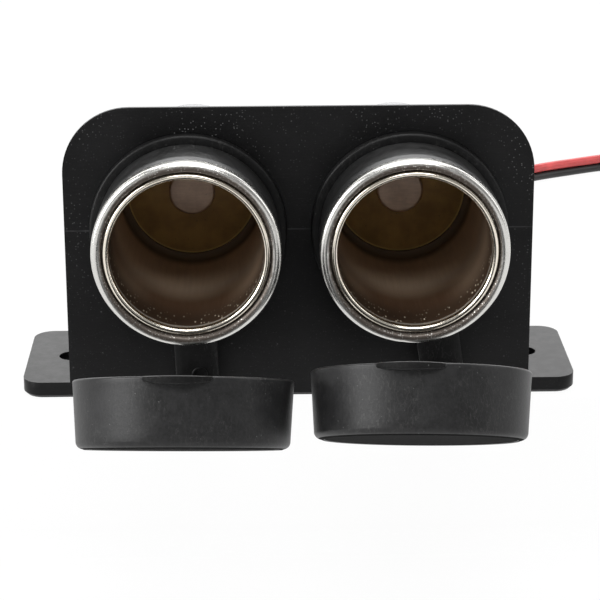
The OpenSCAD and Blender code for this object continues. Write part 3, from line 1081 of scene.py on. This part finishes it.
@dataclass
class SocketFront:
    """What shows of one socket from the front: sleeve, bead, barrel, disc and contact, in millimetres."""

    side: Side
    bore_r: float = 10.8
    barrel_t: float = 0.6
    barrel_depth: float = 20.2
    floor_r: float = 0.9
    sleeve_in: float = 11.5
    collar_r: float = 13.2
    collar_front: float = -11.175
    collar_back: float = -6.0
    waist: float = 0.2
    seat: float = -1.6
    thread_r: float = 12.6
    thread_pitch: float = 1.25
    thread_height: float = 0.28
    thread_from: float = 1.0
    sleeve_end: float = 14.0
    foot_front: float = -11.775
    bead_r: float = 13.3
    bead_in: float = 11.85
    lip_r: float = 11.7
    mouth: float = -13.1
    disc_t: float = 1.6
    disc_over: float = 0.5
    contact_r: float = 3.5
    contact_t: float = 1.0
    contact_edge: float = 0.35
    stud_r: float = 1.5
    stud_from: float = 24.0
    stud_end: float = 44.2
    stud_pitch: float = 0.5
    stud_groove: float = 0.2

    def build(self) -> None:
        """Builds the five pieces of the socket's front."""
        self.sleeve()
        self.bead()
        self.barrel()
        self.disc()
        self.contact()

    def _turned(
        self, what: str, node: str, finish: Finish, outline: Sequence[Pair], parts: int,
        shape: Shape = plain_radius,
    ) -> bpy.types.Object:
        """Turns an outline into one of the pieces.

        Args:
            what: The piece, as its name has it.
            node: The CAD node that it stands for, without the side.
            finish: Its finish.
            outline: Points as (radius, depth behind the panel face).
            parts: Pieces round the axis.
            shape: Gives the radius at a depth, radius and angle.

        Returns:
            The piece.
        """
        shell = Shell()
        shell.turned(self.side, outline, parts, shape=shape)
        piece = shell.piece(f"{self.side.word}_{what}_skin", finish)
        return settle(piece, "base", f"{self.side.word}_{node}")

    def sleeve(self) -> None:
        """The black sleeve, with its collar, waist and thread."""
        waist_r = self.collar_r - self.waist
        outline = filleted([
            (self.sleeve_in, self.collar_front, 0), (self.collar_r - 0.35, self.collar_front, 0.15),
            (self.collar_r, self.collar_front + 2, 0.8), (self.collar_r, self.collar_back - 0.2, 0.15),
            (waist_r, self.collar_back, 0.1), (waist_r, self.seat, 0.12), (self.thread_r, self.seat, 0),
        ])
        span = self.sleeve_end - 0.5 - self.seat
        steps = int(span / 0.16)
        outline += [(self.thread_r, self.seat + span * k / steps) for k in range(1, steps + 1)]
        outline += [(self.thread_r - 0.5, self.sleeve_end), (self.sleeve_in, self.sleeve_end)]
        thread_to = self.sleeve_end - 0.6
        thread = Thread(self.thread_r, self.thread_from, thread_to, self.thread_pitch, self.thread_height)
        self._turned("sleeve", "sleeve", SLEEVE_BLACK, outline, 144, thread)

    def bead(self) -> None:
        """The rolled chrome bead round the mouth, a little uneven as pressed sheet is."""
        middle, half = (self.bead_r + self.bead_in) / 2, (self.bead_r - self.bead_in) / 2
        outline = [(self.sleeve_in, self.foot_front), (self.bead_in - 0.06, self.foot_front)]
        outline += arc(middle, self.mouth + half, half, 180, 360, 22)
        outline += [
            (self.bead_r, self.collar_front - 0.1), (self.bead_r - 0.12, self.collar_front),
            (self.sleeve_in, self.collar_front),
        ]
        self._turned("bead", "bezel", BRIGHT, outline, 192, self._pressed)

    def _pressed(self, depth: float, radius: float, angle: float) -> float:
        """Gives the bead very slight waves, and two nicks at the bottom of its front.

        Args:
            depth: Depth behind the panel face.
            radius: The plain radius.
            angle: Angle round the axis.

        Returns:
            The radius there.
        """
        wave = 0.012 * math.sin(3 * angle + self.side.value) + 0.008 * math.sin(7 * angle)
        turn = math.degrees(angle)
        nick = sum(0.05 * math.exp(-((turn - at) / 1.6) ** 2) for at in (174.0, 186.5))
        front = 1.0 if depth < self.mouth + 0.9 else 0.0
        outer = 1.0 if radius > self.bead_in - 0.1 else 0.0
        return radius + (wave - nick * front) * outer - 0.02

    def barrel(self) -> None:
        """The drawn barrel with its rolled lip and rounded floor corner."""
        half = (self.lip_r - self.bore_r) / 2
        lip = arc(self.bore_r + half, self.mouth + 0.15 + half, half, 180, 360, 18)
        outer = self.bore_r + self.barrel_t
        corner_r, corner_y = self.bore_r - self.floor_r, self.barrel_depth - self.floor_r
        outline = [*lip, (self.lip_r, self.foot_front), (outer, self.foot_front)]
        outline += arc(corner_r, corner_y, self.floor_r + self.barrel_t, 0, 90, 10)
        outline += [(corner_r, self.barrel_depth)]
        outline += arc(corner_r, corner_y, self.floor_r, 90, 0, 10)
        wall = lip[0][1] - corner_y
        outline += [(self.bore_r, corner_y + wall * k / 14) for k in range(1, 14)]
        self._turned("barrel", "barrel", BARREL, outline, 192)

    def disc(self) -> None:
        """The brown disc at the bottom of the barrel."""
        inner, outer = self.stud_r + 0.1, self.bore_r + self.disc_over
        front = self.barrel_depth + self.barrel_t
        back = front + self.disc_t
        outline = filleted([(inner, front, 0), (outer, front, 0.1), (outer, back, 0.1), (inner, back, 0)])
        self._turned("disc", "insulator", DISC, outline, 128)

    def contact(self) -> None:
        """The flat contact, its edge turned down, and the threaded stud behind it, in plainer tin."""
        front = self.barrel_depth + self.barrel_t
        face, edge = front - self.contact_t, self.contact_edge
        outline = [(0.02, face + 0.04), (self.contact_r - 0.9, face)]
        outline += arc(self.contact_r - edge, face + edge, edge, 270, 360, 6)
        outline += [(self.contact_r, front), (self.stud_r, front)]
        span = self.stud_end - 0.3 - front
        steps = int(span / 0.1)
        outline += [(self.stud_r, front + span * k / steps) for k in range(1, steps + 1)]
        outline += [(self.stud_r - 0.3, self.stud_end), (0.02, self.stud_end)]
        thread = Thread(self.stud_r, self.stud_from, self.stud_end - 0.4, self.stud_pitch, self.stud_groove)
        piece = self._turned("contact", "contact", CONTACT_TIN, outline, 48, thread)
        piece.data.materials.append(TIN.material())
        for facet in piece.data.polygons:
            facet.material_index = int(facet.center.y / MM > PANEL_FACE + front + 1.0)


@dataclass
class RearStack:
    """What one socket has behind the panel: ring nut, can, bush, terminals, nut and connectors."""

    side: Side
    plug_start: float = 42.2
    plug_l: float = 13.0
    plug_w: float = 7.8
    plug_h: float = 3.2
    slot_w: float = 6.5
    slot_h: float = 1.0
    slot_l: float = 7.0
    live_drop: float = 5.9
    ground_side: float = 6.1

    def build(self) -> None:
        """Dresses the stack's CAD nodes and builds the two connectors."""
        for node, finish, edge in (
            ("ring_nut", NUT_BLACK, 0.22), ("rear_can", CAN_NICKEL, 0.0), ("bush", NUT_BLACK, 0.12),
            ("live_tab", BRASS, 0.08), ("ground_tab", BRASS, 0.08), ("stud_nut", TIN, 0.18),
        ):
            dress(f"{self.side.word}_{node}", finish, edge)
        self.connector("live", RED_COVER, False, self.side.axis_x, AXIS_Z - self.live_drop)
        self.connector("ground", BLACK_COVER, True, self.side.axis_x + self.ground_side, AXIS_Z)

    def connector(self, kind: str, finish: Finish, upright: bool, x: float, z: float) -> None:
        """One push-on connector: a soft flat sleeve, ribbed for grip, that narrows to its wire.

        Args:
            kind: Which terminal it is on, as the CAD node has it.
            finish: Its finish.
            upright: Whether its flat side stands upright.
            x: The blade's X.
            z: The blade's Z.
        """
        stations = [(0.0, 0.93), (0.15, 0.98), (0.5, 1.0)]
        for rib in (2.2, 3.4, 4.6):
            stations += [(rib, 1.0), (rib + 0.15, 0.965), (rib + 0.45, 0.965), (rib + 0.6, 1.0)]
        stations += [(7.4, 1.0), (8.6, 0.97), (10.0, 0.86), (11.4, 0.78), (12.6, 0.76), (12.9, 0.74)]
        stations += [(self.plug_l, 0.7)]
        shell = Shell()
        rows = [self._ring(x, z, upright, s, self.plug_w * k, self.plug_h * (0.6 + 0.4 * k), 1.3 * k)
                for s, k in stations]
        inner = [self._ring(x, z, upright, s, self.slot_w, self.slot_h, 0.1) for s in (self.slot_l, 0.4, 0.0)]
        shell.grid([*inner, *rows], False, True)
        shell.cap(inner[0], False)
        shell.cap(rows[-1], False)
        piece = shell.piece(f"{self.side.word}_{kind}_cover", finish, 50)
        settle(piece, "base", f"{self.side.word}_{kind}_connector")

    def _ring(
        self, x: float, z: float, upright: bool, along: float, width: float, height: float, radius: float,
    ) -> list[Vector]:
        """One section of a connector as a rounded rectangle.

        Args:
            x: The middle's X.
            z: The middle's Z.
            upright: Whether the wide side is upright.
            along: Place along the connector.
            width: The wide side.
            height: The narrow side.
            radius: The corners' radius.

        Returns:
            The section's points.
        """
        a, b, r = width / 2, height / 2, min(radius, height / 2 - 0.02)
        flat = filleted([(-a, -b, r), (a, -b, r), (a, b, r), (-a, b, r)], 6)
        y = PANEL_FACE + self.plug_start + along
        if upright:
            return [Vector((x + v, y, z + u)) for u, v in flat]
        return [Vector((x + u, y, z - v)) for u, v in flat]


@dataclass
class DustCap:
    """One dust cap with the ring that holds it, and the strap between them, which bends at the hinge.

    The three steps are how far the strap lies to the right of the socket's axis: at its top, at its bend, and
    at the cap.
    """

    side: Side
    open_angle: float
    turn: float
    top_step: float
    low_step: float
    cap_step: float
    tilt: float
    hinge_y: float = -19.5
    hinge_z: float = 1.3
    cap_r: float = 14.75
    wall: float = 0.8
    front: float = -14.2
    mouth: float = -5.1
    floor_t: float = 0.9
    draft: float = 0.5
    taper: float = 0.25
    edge: float = 1.0
    lip_reach: float = 1.8
    lip_circle_r: float = 5.4
    lip_t: float = 1.1
    lip_edge: float = 0.28
    lip_half: float = 65.0
    root_half: float = 20.0
    ring_in: float = 12.75
    ring_out: float = 14.2
    ring_t: float = 1.6
    strap_top: float = 13.4
    strap_w: float = 6.3
    strap_t: float = 1.2
    bend_r: float = 2.6
    knuckle: float = 1.7
    lug_set_back: float = 1.1
    mark_z: float = 3.9
    mark_aside: float = 0.33

    def build(self) -> None:
        """Builds the ring, the strap and the cap."""
        self.ring()
        self.strap()
        self.cup()

    @property
    def body(self) -> str:
        """The CAD body of the cap."""
        return f"{self.side.word}_cap"

    @property
    def hinge(self) -> Vector:
        """The point that the cap swings about."""
        return Vector((self.side.axis_x, self.hinge_y, self.hinge_z))

    @property
    def swing(self) -> Matrix:
        """The rotation from shut to open, about an axis that drops a little to the right."""
        lean = math.radians(self.tilt)
        return Matrix.Rotation(math.radians(self.open_angle), 3, Vector((math.cos(lean), 0, -math.sin(lean))))

    @property
    def lean(self) -> float:
        """How far the shut strap leans back from upright, in radians."""
        back = self.mouth - self.lug_set_back - (self.hinge_y - PANEL_FACE)
        return math.atan2(back, AXIS_Z - self.cap_r - self.hinge_z)

    @property
    def ahead(self) -> Vector:
        """The direction of the open strap from the hinge to the cap."""
        return self.swing @ Vector((0, math.sin(self.lean), math.cos(self.lean)))

    def ring(self) -> None:
        """The ring under the collar, with the round mould mark on the strap below it."""
        outline = filleted([
            (self.ring_in, 0, 0.1), (self.ring_in, -self.ring_t, 0.15), (self.ring_out, -self.ring_t, 0.35),
            (self.ring_out, 0, 0.1),
        ], 4)
        shell = Shell()
        shell.turned(self.side, outline, 160)
        piece = shell.piece(f"{self.side.word}_ring_skin", STRAP_BLACK)
        settle(piece, "base", f"{self.side.word}_cap_ring")
        self._mark()

    def _mark(self) -> None:
        """The small raised ring on the strap."""
        x = self.side.axis_x + self.low_step + self.mark_aside
        y = PANEL_FACE - self.strap_t
        angles = [2 * math.pi * j / 40 for j in range(40)]
        section = ((1.2, 0.25), (1.17, -0.12), (1.08, -0.2), (0.84, -0.2), (0.75, -0.12), (0.72, 0.25))
        rows = [
            [Vector((x + r * math.sin(a), y + out, self.mark_z + r * math.cos(a))) for a in angles]
            for r, out in section
        ]
        shell = Shell()
        shell.grid(rows, True, True)
        piece = shell.piece(f"{self.side.word}_strap_mark", STRAP_BLACK)
        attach(piece, "base")
        LOG.info("built %s", piece.name)

    def strap(self) -> None:
        """The flat strap from the ring down the panel, round the bend and up to the cap."""
        a, b = self.strap_w / 2, self.strap_t / 2
        outline = filleted([(-a, -b, 0.22), (a, -b, 0.22), (a, b, 0.22), (-a, b, 0.22)], 4)
        shell = Shell()
        shell.band(self._path(), self._slices(outline), Vector((1, 0, 0)))
        piece = shell.piece(f"{self.side.word}_strap_skin", STRAP_BLACK)
        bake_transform(piece)
        LOG.info("built %s", piece.name)

    def _path(self) -> list[Vector]:
        """The strap's middle line.

        Returns:
            Its points, from the ring to the cap.
        """
        x, y = self.side.axis_x, PANEL_FACE - self.strap_t / 2
        corner = Vector((x + self.low_step, self.hinge_y, self.hinge_z))
        bend_z = self.hinge_z + self.bend_r
        path = []
        for t in (k / 12 for k in range(13)):
            aside = self.top_step + (self.low_step - self.top_step) * t
            path.append(Vector((x + aside, y, self.strap_top + (bend_z - self.strap_top) * t)))
        for a in (math.radians(90 * k / 12) for k in range(1, 13)):
            forward, down = self.bend_r * (1 - math.cos(a)), self.bend_r * math.sin(a)
            path.append(Vector((corner.x, y - forward, bend_z - down)))
        start = corner + Vector((0, self.knuckle, 0))
        step = (start.y - path[-1].y) / 6
        for _ in range(6):
            path.append(path[-1] + Vector((0, step, 0)))
        end = corner + self.ahead * self.knuckle
        for t in (k / 10 for k in range(1, 11)):
            path.append(start * (1 - t) ** 2 + corner * 2 * t * (1 - t) + end * t * t)
        rise = (AXIS_Z - (self.cap_r - self.wall * 0.55) - self.hinge_z) / math.cos(self.lean)
        sideways = self.swing @ Vector((1, 0, 0))
        for t in (k / 14 for k in range(1, 15)):
            shift = (self.cap_step - self.low_step) * t
            path.append(corner + self.ahead * (self.knuckle + (rise - self.knuckle) * t) + sideways * shift)
        return path

    @staticmethod
    def _slices(outline: Sequence[Pair]) -> list[Pair]:
        """Adds points along an outline's long sides, so that the strap bends evenly.

        Args:
            outline: The strap's section.

        Returns:
            The section with the new points.
        """
        made: list[Pair] = []
        for i, (u, v) in enumerate(outline):
            made.append((u, v))
            further = outline[(i + 1) % len(outline)][0] - u
            if abs(further) > 1:
                made.extend((u + further * k / 6, v) for k in range(1, 6))
        return made

    def cup(self) -> None:
        """The cap: a thin drafted cup, rounded at its closed end, with a crescent lip for a finger."""
        front, outer, inner = self.front, self.cap_r - self.draft, self.cap_r - self.wall
        shoulder, brim, inside = front + self.edge, self.mouth - 1, front + self.floor_t
        ridge = outer - self.edge
        outline = [(0.02, front + 0.12), (3.0, front + 0.1), (7.0, front + 0.06), (11.0, front)]
        outline += [(ridge - 0.42, front), (ridge - 0.3, front - 0.07), (ridge - 0.1, front - 0.09)]
        outline += arc(ridge, shoulder, self.edge, 277, 352, 9)
        rise = self.mouth - shoulder
        outline += [(outer + self.draft * k / 9, shoulder + rise * k / 9) for k in range(1, 9)]
        outline += filleted([
            (self.cap_r, brim, 0), (self.cap_r, self.mouth, 0.3), (inner, self.mouth, 0.3), (inner, brim, 0),
        ], 5)[1:-1]
        fall = brim - inside - 0.6
        outline += [(inner - self.taper * k / 7, brim - fall * k / 7) for k in range(1, 7)]
        outline += arc(inner - self.taper - 0.5, inside + 0.5, 0.5, 0, -90, 6)
        outline += [(9.0, inside), (4.0, inside), (0.02, inside)]
        shell = Shell()
        shell.turned(self.side, outline, 176, closed=False)
        self._finger_lip(shell)
        shell.swung(self.hinge, self.swing)
        piece = shell.piece(f"{self.side.word}_cap_skin", CAP_BLACK)
        self._skins(piece)
        settle(piece, self.body, f"{self.side.word}_cap")

    def _skins(self, piece: bpy.types.Object) -> None:
        """Gives the closed face and the finger lip's front a duller skin, darker as painted shade, and the
        mouth's rim a smoother one.

        Args:
            piece: The cap.
        """
        for finish in (CAP_FACE_PAINTED_SHADE, CAP_LIP_PAINTED_SHADE, CAP_RIM):
            piece.data.materials.append(finish.material())
        back = self.swing.transposed()
        for facet in piece.data.polygons:
            place = back @ (facet.center / MM - self.hinge) + self.hinge
            facing = (back @ facet.normal).y
            depth = place.y - PANEL_FACE
            out = math.hypot(place.x - self.side.axis_x, place.z - AXIS_Z)
            # The closed face and the finger lip's front take the darker skins, which paint shade on them.
            if facing < -0.9 and depth < self.front + 0.25:
                facet.material_index = 1
            elif out > self.cap_r + 0.2 and abs(facing) < 0.75:
                facet.material_index = 2
            elif depth > self.mouth - 0.32:
                facet.material_index = 3

    def _finger_lip(self, shell: Shell) -> None:
        """The crescent lip, as a slice of a disc that stands out of the cup's wall.

        Args:
            shell: The mesh that it is added to.
        """
        reach = self.lip_reach + self.cap_r - self.lip_circle_r
        rim, edge, root_r, back = self.lip_circle_r, self.lip_edge, self.cap_r * 0.965, self.mouth
        rows: list[list[Vector]] = [[] for _ in range(8)]
        for share in (j / 24 - 1 for j in range(49)):
            a, b = math.radians(self.lip_half * share), math.radians(self.root_half * share)
            face = back - self.lip_t * (0.35 + 0.65 * math.cos(1.3 * a) ** 0.7)
            section = (
                (rim - edge, face), (rim - 0.08, face + edge / 3), (rim, face + edge),
                (rim, back - edge / 2), (rim - 0.08, back - edge / 4), (rim - edge, back),
            )
            for row, (radius, depth) in zip(rows, section):
                row.append(self._on_face(radius * math.sin(a), reach + radius * math.cos(a), depth))
            for row, depth in zip(rows[6:], (back - 0.02, face)):
                row.append(self._on_face(root_r * math.sin(b), root_r * math.cos(b), depth))
        shell.grid(rows, True, False)

    def _on_face(self, u: float, v: float, depth: float) -> Vector:
        """A point of the shut cap.

        Args:
            u: Its place across the cap, seen square to the finger lip.
            v: Its place towards the lip.
            depth: Its depth behind the panel face.

        Returns:
            The point.
        """
        turn = math.radians(self.turn)
        x = u * math.cos(turn) + v * math.sin(turn)
        z = v * math.cos(turn) - u * math.sin(turn)
        return Vector((self.side.axis_x + x, PANEL_FACE + depth, AXIS_Z + z))


@dataclass
class Lead:
    """One lead of the pair: its insulation on a smooth route, and its bare twisted end."""

    colour: str
    finish: Finish
    route: tuple[Point, ...]
    length: float
    radius: float = 0.85
    tip_l: float = 6.0
    strands: int = 7
    strand_r: float = 0.2
    strand_ring: float = 0.39
    twist_l: float = 7.0

    def build(self) -> None:
        """Builds the lead as a curve, and its tip."""
        piece = wire(f"{self.colour}_lead", self.finish, self.route, self.radius, 14)
        settle(piece, "base", f"{self.colour}_lead")
        tip = self._tip()

    def _tip(self) -> bpy.types.Object:
        """The tinned end: strands twisted together.

        Returns:
            The tip's object.
        """
        end, up = Vector(self.route[-1]), Vector((0, 0, 1))
        along = end - Vector(self.route[-2])
        along.z = 0
        along.normalize()
        side = along.cross(up)
        inside = 0.8
        shell = Shell()
        for s in range(self.strands):
            ring = 0.0 if s == 0 else self.strand_ring
            rows = []
            for k in range(25):
                t = k / 24 * (self.tip_l + inside) - inside
                fray = ring * (1 + 0.12 * max(0.0, t / self.tip_l) ** 3)
                a = 2 * math.pi * (s / max(1, self.strands - 1) + t / self.twist_l)
                middle = end + along * min(t, self.tip_l) + (side * math.cos(a) + up * math.sin(a)) * fray
                rows.append([
                    middle + (side * math.cos(b) + up * math.sin(b)) * self.strand_r
                    for b in (2 * math.pi * j / 10 for j in range(10))
                ])
            shell.grid(rows, False, True)
            shell.cap(rows[0], True)
            shell.cap(rows[-1], False)
        tip = shell.piece(f"{self.colour}_tip_strands", TIN)
        return settle(tip, "base", f"{self.colour}_lead_tip")


@dataclass
class Jumper:
    """One short wire between the two sockets' connectors."""

    colour: str
    finish: Finish
    route: tuple[Point, ...]
    radius: float = 0.85

    def build(self) -> None:
        """Builds the jumper as a curve."""
        piece = wire(f"{self.colour}_jumper", self.finish, self.route, self.radius, 12)
        settle(piece, "base", f"{self.colour}_jumper")


@dataclass
class Lamp:
    """One soft box: where it hangs, how large it is and how bright."""

    name: str
    place: Point
    aim: Point
    size: Pair
    power: float

    def build(self) -> None:
        """Hangs the lamp, unseen by the camera."""
        data = bpy.data.lights.new(self.name, "AREA")
        data.shape = "RECTANGLE"
        data.size, data.size_y = self.size
        data.energy = self.power
        made = placed(self.name, data)
        made.location = self.place
        made.rotation_mode = "QUATERNION"
        made.rotation_quaternion = (Vector(self.aim) - Vector(self.place)).to_track_quat("-Z", "Y")
        made.visible_camera = False


@dataclass
class Studio:
    """The camera at the photograph's angle, the pale bench and the soft lights."""

    lens: float = 131.7
    camera_at: Point = (-6.41, -315.2, 115.66)
    right: Point = (0.999737, -0.022652, -0.003600)
    up: Point = (0.010551, 0.314814, 0.949095)
    forward: Point = (0.020365, 0.948883, -0.314970)
    bench_edge: float = -12.6
    drop: float = 24.0
    reach: float = 3000.0
    wall_at: float = 1300.0
    wall_top: float = 2600.0
    around: float = 0.28
    lamps: tuple[Lamp, ...] = (
        Lamp("top_box", (0.0, 0.12, 0.75), (0.0, -0.02, 0.0), (0.7, 0.5), 5.5),
        Lamp("left_box", (-0.66, -0.28, 0.3), (0.0, -0.02, 0.02), (0.52, 0.56), 5.8),
        Lamp("right_box", (0.62, -0.1, 0.3), (0.0, 0.0, 0.02), (0.3, 0.5), 0.85),
        Lamp("front_box", (0.04, -0.66, 0.78), (0.0, 0.0, 0.02), (0.5, 0.35), 3.5),
        Lamp("back_box", (0.0, 0.9, 0.58), (0.0, 0.0, 0.02), (1.7, 0.65), 7.0),
    )

    def build(self) -> None:
        """Sets up the camera, the bench, the lamps and the world."""
        self._camera()
        self._bench()
        for lamp in self.lamps:
            lamp.build()
        self._world()
        bpy.context.scene.view_settings.view_transform = "Standard"
        LOG.info("set up the studio")

    def _camera(self) -> None:
        """Puts the camera where the photograph was taken from."""
        data = bpy.data.cameras.new("camera")
        data.sensor_width = 36.0
        data.lens = self.lens
        data.clip_start, data.clip_end = 0.01, 20.0
        made = placed("camera", data)
        columns = (Vector(self.right), Vector(self.up), -Vector(self.forward))
        turn = Matrix(columns).transposed().to_4x4()
        made.matrix_world = Matrix.Translation(Vector(self.camera_at) * MM) @ turn
        bpy.context.scene.camera = made

    def _bench(self) -> None:
        """The pale bench that the base stands on, with a drop in front of it for the caps."""
        line = [(self.wall_at, self.wall_top)]
        line += arc(self.wall_at - 300.0, 300.0, 300.0, 0, -90, 10)
        line += [(200.0, 0.0), (40.0, 0.0)]
        line += arc(self.bench_edge + 1.0, -1.0, 1.0, 90, 180, 6)
        line += arc(self.bench_edge - 3.0, -self.drop + 3.0, 3.0, 0, -90, 8)
        line += [(-80.0, -self.drop), (-self.reach, -self.drop)]
        shell = Shell()
        across = (-self.reach, -200.0, 200.0, self.reach)
        shell.grid([[Vector((x, y, z)) for x in across] for y, z in line], False, False)
        mesh = bpy.data.meshes.new("bench")
        mesh.from_pydata([p * MM for p in shell.points], [], shell.faces)
        mesh.shade_smooth()
        mesh.set_sharp_from_angle(angle=math.radians(50))
        mesh.materials.append(FLOOR.material())
        placed("bench", mesh)

    def _world(self) -> None:
        """Soft grey light from all round, plain white where the camera sees past the bench."""
        world = bpy.data.worlds.new("studio")
        world.use_nodes = True
        bpy.context.scene.world = world
        board = Board(world.node_tree)
        ray = board.node("ShaderNodeLightPath", {}, {}, "Is Camera Ray")
        tone = board.tint(ray, (self.around,) * 3, (1.0, 1.0, 1.0))
        light = board.node("ShaderNodeBackground", {}, {"Color": tone, "Strength": 1.0})
        board.node("ShaderNodeOutputWorld", {}, {"Surface": light})


# The wires' routes, as part.scad has them, in millimetres.
RED_ROUTE: tuple[Point, ...] = (
    (17.5, 43.6, 19.9), (17.5, 48.6, 19.9), (18.5, 56, 16.5), (21.5, 68, 11.5), (26, 80, 6.5),
    (32.5, 91, 3.4), (40, 100.2, 2.55), (50, 107.4, 2.55), (57, 111.1, 2.55), (64, 114.4, 2.55),
    (73, 117.4, 2.55), (81, 115.6, 2.55), (85, 108, 2.55), (84, 98, 2.55), (81, 88, 2.55), (80, 78, 2.55),
    (82, 68, 2.55),
)
BLACK_ROUTE: tuple[Point, ...] = (
    (22.0, 43.6, 27.4), (22.0, 48.6, 27.4), (24.5, 56, 21), (28, 66, 13), (31, 76, 6), (34, 86, 1.6),
    (38.5, 95.5, 0.85), (43.5, 102.8, 0.85), (50, 107.4, 0.85), (57, 111.1, 0.85), (64, 114.4, 0.85),
    (73, 117.4, 0.85), (81, 115.6, 0.85), (85, 108, 0.85), (84, 98, 0.85), (81, 88, 0.85), (80, 78, 0.85),
    (82, 68, 0.85),
)
RED_JUMPER: tuple[Point, ...] = (
    (-15.9, 43.6, 19.9), (-15.9, 47.68, 19.9), (-11.925, 52.1, 18.54), (0, 54.48, 17.52),
    (10.494, 52.1, 18.54), (14.3, 47.68, 19.9), (14.3, 43.6, 19.9),
)
BLACK_JUMPER: tuple[Point, ...] = (
    (-9.8, 43.6, 25.8), (-9.8, 47.68, 25.8), (-6.042, 52.1, 24.95), (6.042, 54.48, 24.015),
    (17.49, 52.1, 24.015), (22.0, 47.68, 24.2), (22.0, 43.6, 24.2),
)


def main() -> None:
    """Builds the studio and every piece in order, and reports each."""
    logging.basicConfig(level=logging.INFO, format="%(message)s")
    Studio().build()
    Lead("red", RED_WIRE, RED_ROUTE, 161.0).build()
    Lead("black", BLACK_WIRE, BLACK_ROUTE, 163.0).build()
    Bracket().build()
    for side in Side:
        SocketFront(side).build()
        RearStack(side).build()
    for cap in (
        DustCap(Side.LEFT, open_angle=67.0, turn=-1.0, top_step=0.5, low_step=0.9, cap_step=0.9, tilt=0.8),
        DustCap(Side.RIGHT, open_angle=65.0, turn=-8.5, top_step=3.7, low_step=5.1, cap_step=1.3, tilt=1.4),
    ):
        cap.build()
    Jumper("red", RED_COVER, RED_JUMPER).build()
    Jumper("black", BLACK_COVER, BLACK_JUMPER).build()


if __name__ == "__main__":
    main()
